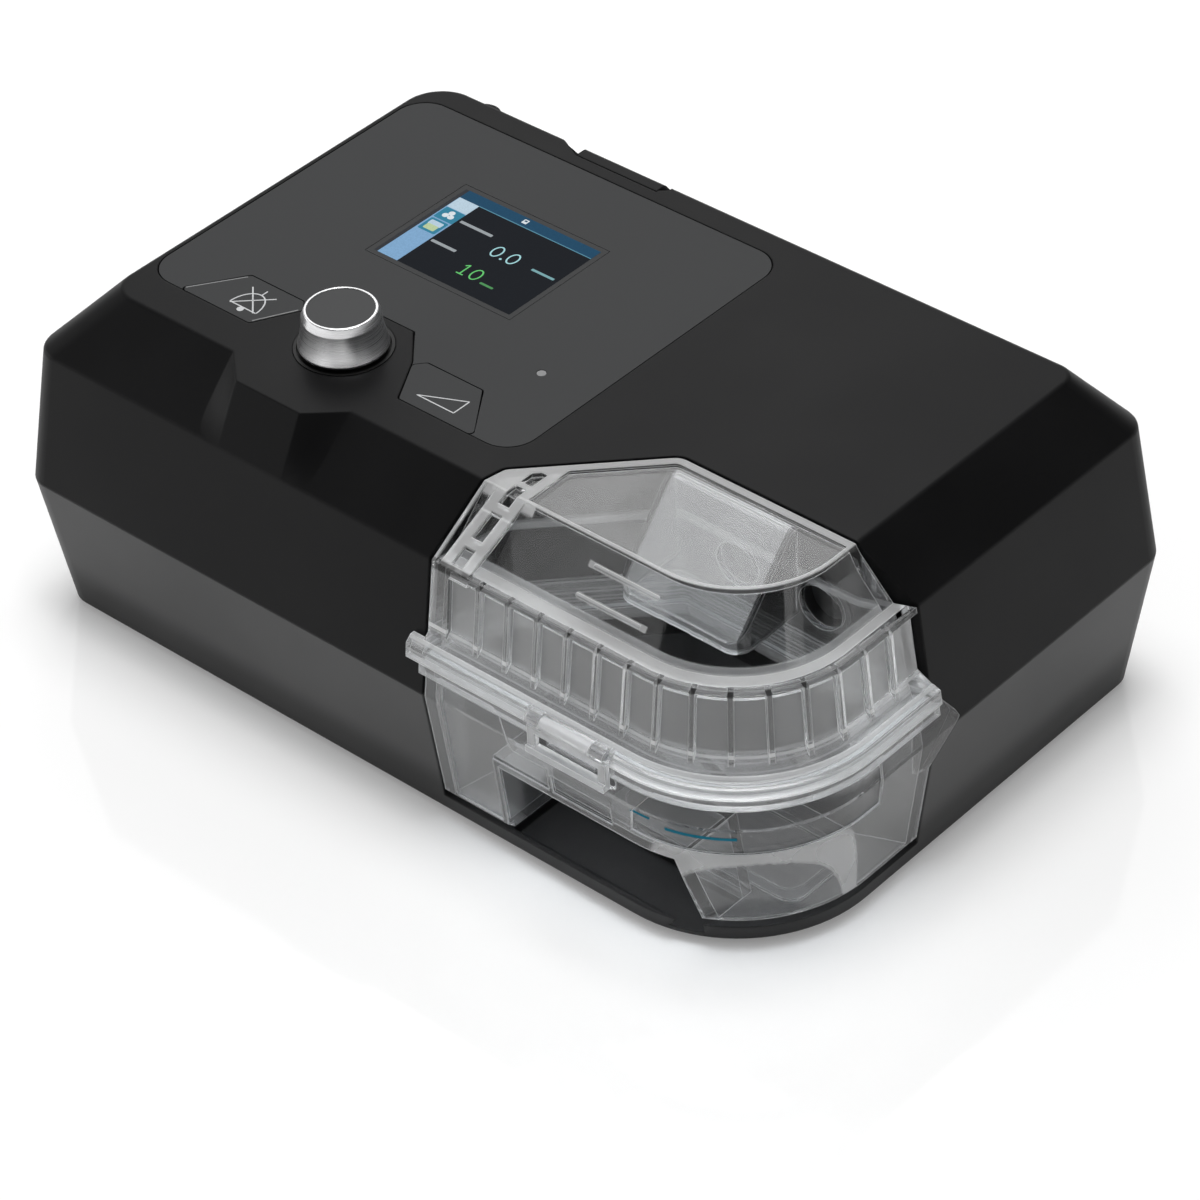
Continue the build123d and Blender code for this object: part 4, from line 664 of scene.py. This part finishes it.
nodeFinish = {
    "casing": ["top_cover", "filter_cover", "air_outlet"],
    "lowerCasing": ["bottom_case"],
    "panel": ["control_panel", "mute_button", "ramp_button"],
    "trim": ["knob_ring"],
    "inlay": ["knob_cap"],
    "lens": ["display_lens"],
    "lid": ["chamber_lid"],
    "tub": ["water_tub"],
    "chute": ["splash_chute"],
    "clearLatch": ["chamber_latch"],
    "knobAlloy": ["knob_body"],
    "basePlate": ["tub_base_plate"],
    "steel": ["latch_pin", "case_screws", "board_screws", "motor_shaft", "encoder_shaft",
              "motor_can", "card_slot", "display_module"],
    "heater": ["heater_plate"],
    "silicone": ["lid_seal"],
    "seal": ["port_seals"],
    "sensor": ["sensor_lens"],
    "rubber": ["rubber_feet", "blower_mounts"],
    "foam": ["filter_foam", "muffler_foam"],
    "duct": ["outlet_duct", "riser_duct", "blower_lower", "blower_upper", "display_bracket"],
    "impeller": ["impeller"],
    "board": ["control_board", "main_board"],
    "parts": ["main_board_parts", "button_switches", "encoder_body", "encoder_plunger", "power_inlet"],
    "card": ["memory_card"],
}
for finish, names in nodeFinish.items():
    for name in names:
        mesh = nodes[name].data
        mesh.materials.clear()
        mesh.materials.append(finishes[finish])
print("finishes set")


# a closed solid from rings of points: row i holds one ring, and each end is capped by one face
def ringMesh(rings, closedRun=False):
    rings = np.asarray(rings, float)
    rows, count = rings.shape[:2]
    run = np.arange(rows if closedRun else rows - 1)[:, None]
    turn = np.arange(count)[None, :]
    nextRun, nextTurn = (run + 1) % rows, (turn + 1) % count
    quads = np.stack([run * count + turn, run * count + nextTurn,
                      nextRun * count + nextTurn, nextRun * count + turn], -1).reshape(-1, 4)
    faces = quads.tolist()
    if not closedRun:
        faces.append(list(range(count))[::-1])
        faces.append(list(range((rows - 1) * count, rows * count)))
    return rings.reshape(-1, 3), faces


# the section of an ink mark, as shares of its width and height
markShape = {
    "side": (1.0, 0.7, -0.7, -1.0),
    "lift": (0.0, 1.0, 1.0, 0.0),
    "tileSegments": 32,
    "tileShoulder": 0.7,
}


# a thin line of ink carried along a path: each ring is the path's point, plus the section's share of half
# the width along the normal crossed with the path, plus its share of the height along the normal
def inkLine(path, normal, width, height, closedRun=False):
    path = np.asarray(path, float)
    normal = np.broadcast_to(np.asarray(normal, float), path.shape)
    if closedRun:
        ahead = np.roll(path, -1, 0) - np.roll(path, 1, 0)
    else:
        ahead = np.gradient(path, axis=0)
    ahead /= np.linalg.norm(ahead, axis=1, keepdims=True)
    across = np.cross(normal, ahead)
    across /= np.linalg.norm(across, axis=1, keepdims=True)
    side = np.array(markShape["side"]) * width / 2
    lift = np.array(markShape["lift"]) * height
    rings = path[:, None] + side[None, :, None] * across[:, None] + lift[None, :, None] * normal[:, None]
    return ringMesh(rings, closedRun)


# a flat rounded tile: rings of a rounded rectangle, each point the corner's centre plus the corner's
# radius times its direction, first at the base, then near the top, then slightly smaller at the top
def inkTile(centre, size, corner, base, height):
    count = markShape["tileSegments"]
    turn = (np.arange(count) + 0.5) * 2 * np.pi / count
    direction = np.stack([np.cos(turn), np.sin(turn)], -1)
    reach = np.sign(direction) * (np.asarray(size) / 2 - corner)
    outline = np.asarray(centre) + reach + corner * direction
    inner = np.asarray(centre) + reach + (corner - min(corner, height)) * direction
    shoulder = base + height * markShape["tileShoulder"]
    return ringMesh([atLevel(outline, base), atLevel(outline, shoulder), atLevel(inner, base + height)])


# straight runs between corner points, divided evenly so that a line keeps its width round each corner
def alongCorners(points, step, closedRun=False):
    points = np.asarray(points, float)
    if closedRun:
        points = np.vstack([points, points[:1]])
    lengths = np.concatenate([[0], np.cumsum(np.linalg.norm(np.diff(points, axis=0), axis=1))])
    places = np.linspace(0, lengths[-1], max(int(lengths[-1] / step), 2) + 1)
    if closedRun:
        places = places[:-1]
    return np.stack([np.interp(places, lengths, points[:, k]) for k in range(points.shape[1])], -1)


# an ellipse's points, the centre plus each radius times the cosine or sine of a turn from its right end,
# in degrees
def arcPoints(centre, radii, start, end, count):
    turn = np.radians(np.linspace(start, end, count))
    return np.stack([centre[0] + radii[0] * np.cos(turn), centre[1] + radii[1] * np.sin(turn)], -1)


def atLevel(points, level):
    points = np.asarray(points, float)
    return np.column_stack([points, np.full(len(points), level)])


# one piece from several closed shapes in millimetres, placed in metres, riding on a body
def addPiece(name, shapes, body, marks):
    verts, faces, kinds = [], [], []
    start = 0
    order = list(dict.fromkeys(mark for mark, _ in shapes))
    for mark, (points, cells) in shapes:
        verts.append(points)
        faces += [[start + k for k in cell] for cell in cells]
        kinds += [order.index(mark)] * len(cells)
        start += len(points)
    mesh = bpy.data.meshes.new(name)
    mesh.from_pydata((np.vstack(verts) * mm).tolist(), [], faces)
    for mark in order:
        mesh.materials.append(marks[mark])
    mesh.polygons.foreach_set("material_index", np.array(kinds, dtype=np.int32))
    mesh.validate()
    mesh.update()
    piece = bpy.data.objects.new(name, mesh)
    scene.collection.objects.link(piece)
    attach(piece, body)
    return piece


# the knob, in millimetres: a foot bead, a flare that narrows from the foot to the neck, and an upright rim
knobSet = {
    "foot": 12.3, "neck": 10.78, "rim": 9.95, "curve": 1.9,
    "bead": 0.8, "beadTurn": (-90, 20), "beadSteps": 12,
    "flareSteps": 39,
    "rimHeight": 2.2, "rimRound": 0.35, "rimSteps": 8, "rimWidth": 0.75, "recess": 0.8,
    "hollow": (10.0, 5.2, 4.0),  # outer and inner radius and height of the hollow under it
    "boreDepth": 8.4, "boreGap": 0.02,
    "segments": 128,
    "sharpAngle": 35,
}


# a profile turned about the knob's axis. Up its side the radius runs over the bead, then flares as
# neck + (foot - neck) * (1 - t) ^ curve, then straight up the rim
def turnedKnob(look):
    low, high = knobLow.z / mm, knobHigh.z / mm
    bore = (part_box("encoder_shaft")[1].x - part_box("encoder_shaft")[0].x) / mm / 2 + look["boreGap"]
    foot, neck, rim, bead, edge = (look[k] for k in ("foot", "neck", "rim", "bead", "rimRound"))
    beadLine = arcPoints((foot - bead, low + bead), (bead, bead), *look["beadTurn"], look["beadSteps"])
    t = (np.arange(look["flareSteps"]) + 1) / look["flareSteps"]
    start, end = beadLine[-1], high - look["rimHeight"]
    flareRadius = neck + (start[0] - neck) * (1 - t) ** look["curve"]
    flare = np.stack([flareRadius, start[1] + (end - start[1]) * t], -1)
    rimLine = arcPoints((rim - edge, high - edge), (edge, edge), 0, 90, look["rimSteps"])
    wide, narrow, tall = look["hollow"]
    inner = rim - look["rimWidth"]
    profile = np.vstack([
        [(bore, low + look["boreDepth"]), (bore, low), (narrow, low), (narrow, low + tall),
         (wide, low + tall), (wide, low)],
        beadLine, flare, rimLine,
        [(inner, high), (inner, high - look["recess"]), (inner / 2, high - look["recess"])]])
    turn = np.linspace(0, 2 * np.pi, look["segments"], endpoint=False)
    axis = np.array(knobAxis) / mm
    rings = np.stack([axis[0] + profile[:, :1] * np.cos(turn), axis[1] + profile[:, :1] * np.sin(turn),
                      np.broadcast_to(profile[:, 1:], (len(profile), len(turn)))], -1)
    points, faces = ringMesh(rings)
    knob = addPiece("turnedKnob", [("alloy", (points, faces))], "knob",
                    {"alloy": finishes["knobAlloy"]})
    knob.data.polygons.foreach_set("use_smooth", np.ones(len(faces), dtype=bool))
    knob.data.set_sharp_from_angle(angle=math.radians(look["sharpAngle"]))
    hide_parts("knob_body")


turnedKnob(knobSet)
print("knob turned")

# the display's picture, in millimetres from its middle
displaySet = {
    "middle": (-44.75, 14.0),
    "lift": 0.02, "layer": 0.02,
    # each tile's colour, left, right, low and high edge, layer and corner radius
    "tiles": [
        ("field", -16.1, 24.7, -18.5, 14.4, 0, 0.1),
        ("header", -23.4, 24.7, 14.4, 18.5, 0, 0.1),
        ("rule", -16.1, 24.7, 14.24, 14.56, 1, 0.1),
        ("sideBar", -23.4, -16.1, -18.5, 14.4, 0, 0.1),
        ("sidePale", -23.25, -16.1, 9.1, 14.4, 1, 0.1),
        ("tile", -23.0, -16.1, 3.2, 8.9, 1, 0.5),
        ("tile", -22.8, -16.6, -3.4, 2.7, 1, 0.5),
        ("sidePale", -22.0, -17.5, -0.2, 1.9, 2, 0.4),
        ("lime", -21.7, -17.8, -2.5, 0.0, 3, 0.4),
        ("white", -1.9, -0.2, 15.7, 17.6, 2, 0.25),  # a storage card in the header
        ("header", -1.5, -0.6, 16.6, 17.2, 3, 0.1),
        ("word", -15.2, -3.5, 5.3, 6.4, 1, 0.3),  # bars in place of words
        ("word", -15.4, -6.5, -6.1, -5.0, 1, 0.3),
        ("cyanWord", 15.4, 23.4, 0.4, 1.3, 1, 0.3),
        ("greenWord", 8.6, 13.3, -12.8, -12.0, 1, 0.3),
        ("cyan", 5.1, 5.85, -1.15, -0.45, 1, 0.2),  # the figures' point
    ],
    # a small fan of three lobes on the upper tile
    "fan": {"middle": (-19.6, 6.1), "reach": 1.1, "turns": (90, 210, 330),
            "size": (1.9, 1.9), "corner": 0.9, "layer": 2},
    "zeros": [("cyan", (2.55, 1.3)), ("cyan", (8.3, 1.3)), ("green", (5.4, -10.3))],
    "zeroHalf": (1.45, 2.35),
    "zeroPoints": 36,
    "strokes": [("green", ((0.25, -8.9), (1.35, -7.95), (1.35, -12.65)), 0.25),
                ("green", ((0.15, -12.65), (2.55, -12.65)), 0.3)],
    "stroke": 0.46,
    "grain": 0.0004,
    "glow": 1.0,
    "colors": {
        "field": (0.007, 0.009, 0.012), "header": (0.012, 0.066, 0.13), "rule": (0.1, 0.28, 0.38),
        "sideBar": (0.22, 0.4, 0.62), "sidePale": (0.5, 0.64, 0.75), "tile": (0.035, 0.22, 0.34),
        "white": (0.72, 0.78, 0.82), "lime": (0.5, 0.62, 0.36), "cyan": (0.4, 0.72, 0.76),
        "green": (0.14, 0.6, 0.17), "word": (0.34, 0.37, 0.39), "cyanWord": (0.2, 0.4, 0.43),
        "greenWord": (0.08, 0.3, 0.1),
    },
}


# layers of tiles over the lens: header, side bar and its small pictures, bars where words would be, and
# plain figures drawn as lines
def displayPicture(look):
    cx, cy = look["middle"]
    up = look["layer"]
    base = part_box("display_lens")[1][2] / mm + look["lift"]
    shapes = []
    for mark, left, right, low, high, layer, corner in look["tiles"]:
        middle = (cx + (left + right) / 2, cy + (low + high) / 2)
        shapes.append((mark, inkTile(middle, (right - left, high - low), corner, base + layer * up, up)))
    fan = look["fan"]
    for turn in np.radians(fan["turns"]):
        spot = (cx + fan["middle"][0] + fan["reach"] * math.cos(turn),
                cy + fan["middle"][1] + fan["reach"] * math.sin(turn))
        shapes.append(("white", inkTile(spot, fan["size"], fan["corner"], base + fan["layer"] * up, up)))

    def line(mark, points, isLoop=False):
        path = atLevel(np.asarray(points) + (cx, cy), base + up)
        shapes.append((mark, inkLine(path, (0, 0, 1), look["stroke"], up, isLoop)))

    for mark, middle in look["zeros"]:
        line(mark, arcPoints(middle, look["zeroHalf"], 0, 350, look["zeroPoints"]), True)
    for mark, corners, step in look["strokes"]:
        line(mark, alongCorners(corners, step))
    marks = {mark: markInk("display" + mark[0].upper() + mark[1:], color, look["grain"], look["glow"])
             for mark, color in look["colors"].items()}
    return addPiece("displayPicture", shapes, "case", marks)


displayPicture(displaySet)
print("display drawn")

# printed lines on the two keys, and painted highlight lines on the mute key's side edges, in millimetres
keySet = {
    "lift": 0.01,
    "height": 0.03,
    "layer": 0.004,  # how much higher a line lies than the one that it crosses
    "lineWidth": 0.42,
    "step": 0.4,
    "bell": {"middle": (-78.3, -46.0), "half": (4.8, 7.0), "points": 40,
             "clapper": (-78.3, -47.0), "clapperSize": 2.0, "clapperCorner": 0.99,
             "nub": ((-78.1, -36.7), (-78.1, -39.0)),
             "cross": (((-82.8, -37.6), (-74.2, -46.4)), ((-82.9, -46.3), (-73.7, -37.8)))},
    # painted highlight: two light lines along the mute key's slanted side edges, standing in for the light
    # they catch
    "edges": (((-97.0, -48.9), (-87.2, -35.0)), ((-72.0, -48.9), (-65.7, -37.8))),
    "glintWidth": 0.42,
    "glintStep": 0.5,
    "wedge": ((-14.8, -45.9), (-1.9, -45.9), (-1.9, -39.8)),
    "wedgeWidth": 0.378,
    "wedgeStep": 0.22,
    "ink": (0.62, 0.63, 0.64),
    "glintInk": (0.26, 0.262, 0.265),
    "grain": 0.0002,
}


# a crossed-out bell on one key and a rising wedge on the other, each a set of ink lines, and two painted
# highlight lines along the first key's side edges
def keyMarks(look):
    marks = {"ink": markInk("keyInk", look["ink"], look["grain"]),
             "edge": markInk("keyEdgeGlint", look["glintInk"], look["grain"])}
    bell, step, width = look["bell"], look["step"], look["lineWidth"]

    def line(points, level, mark="ink", wide=width, isLoop=False):
        return mark, inkLine(atLevel(points, level), (0, 0, 1), wide, look["height"], isLoop)

    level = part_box("mute_button")[1][2] / mm + look["lift"]
    mouth = [(bell["middle"][0] + s * bell["half"][0], bell["middle"][1]) for s in (-1, 1)]
    above = level + look["layer"]
    shapes = [line(arcPoints(bell["middle"], bell["half"], 0, 180, bell["points"]), level),
              line(alongCorners(mouth, step), level),
              line(alongCorners(bell["nub"], step), above)]
    shapes += [line(alongCorners(ends, step), above + look["layer"]) for ends in bell["cross"]]
    shapes.append(("ink", inkTile(bell["clapper"], (bell["clapperSize"],) * 2, bell["clapperCorner"],
                                  above, look["height"])))
    # painted highlight lines on the mute key's side edges
    shapes += [line(alongCorners(ends, look["glintStep"]), level, "edge", look["glintWidth"])
               for ends in look["edges"]]
    addPiece("muteMark", shapes, "mute_key", marks)
    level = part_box("ramp_button")[1][2] / mm + look["lift"]
    wedge = line(alongCorners(look["wedge"], look["wedgeStep"], True), level, "ink", look["wedgeWidth"], True)
    addPiece("rampMark", [wedge], "ramp_key", marks)


keyMarks(keySet)
print("key marks drawn")

# the water level line, printed on the tub's window and following its corner, with a short bar beside it;
# lengths are in millimetres, and the turns in degrees from the front
levelSet = {
    "height": 41.7,
    "reach": 41.06,
    "line": (12.6, 38.8),
    "bar": (-1.7, 6.6),
    "barRise": 1.6,
    "width": 1.0,
    "barWidth": 0.8,
    "thick": 0.06,
    "points": 40,
    "ink": (0.012, 0.2, 0.3),
    "grain": 0.0003,
}


# each path point is the corner's centre plus the reach times the turn's sine and cosine; where the turn is
# below zero the path runs straight left
def levelLine(look):
    marks = {"ink": markInk("levelInk", look["ink"], look["grain"])}
    shapes = []
    for (start, end), width, rise in ((look["line"], look["width"], 0.0),
                                      (look["bar"], look["barWidth"], look["barRise"])):
        turn = np.radians(np.linspace(start, end, look["points"]))
        bend = np.maximum(turn, 0)
        reach = look["reach"] + rise * chamberSet["footLean"]
        path = np.stack([chamberSet["corner"][0] + reach * np.where(turn > 0, np.sin(bend), turn),
                         chamberSet["corner"][1] - reach * np.cos(bend),
                         np.full(len(turn), look["height"] + rise)], -1)
        normal = np.stack([np.sin(bend), -np.cos(bend), np.full(len(turn), -chamberSet["footLean"])], -1)
        normal /= np.linalg.norm(normal, axis=1, keepdims=True)
        shapes.append(("ink", inkLine(path, normal, width, look["thick"])))
    addPiece("levelLine", shapes, "chamber", marks)


levelLine(levelSet)
print("level line drawn")
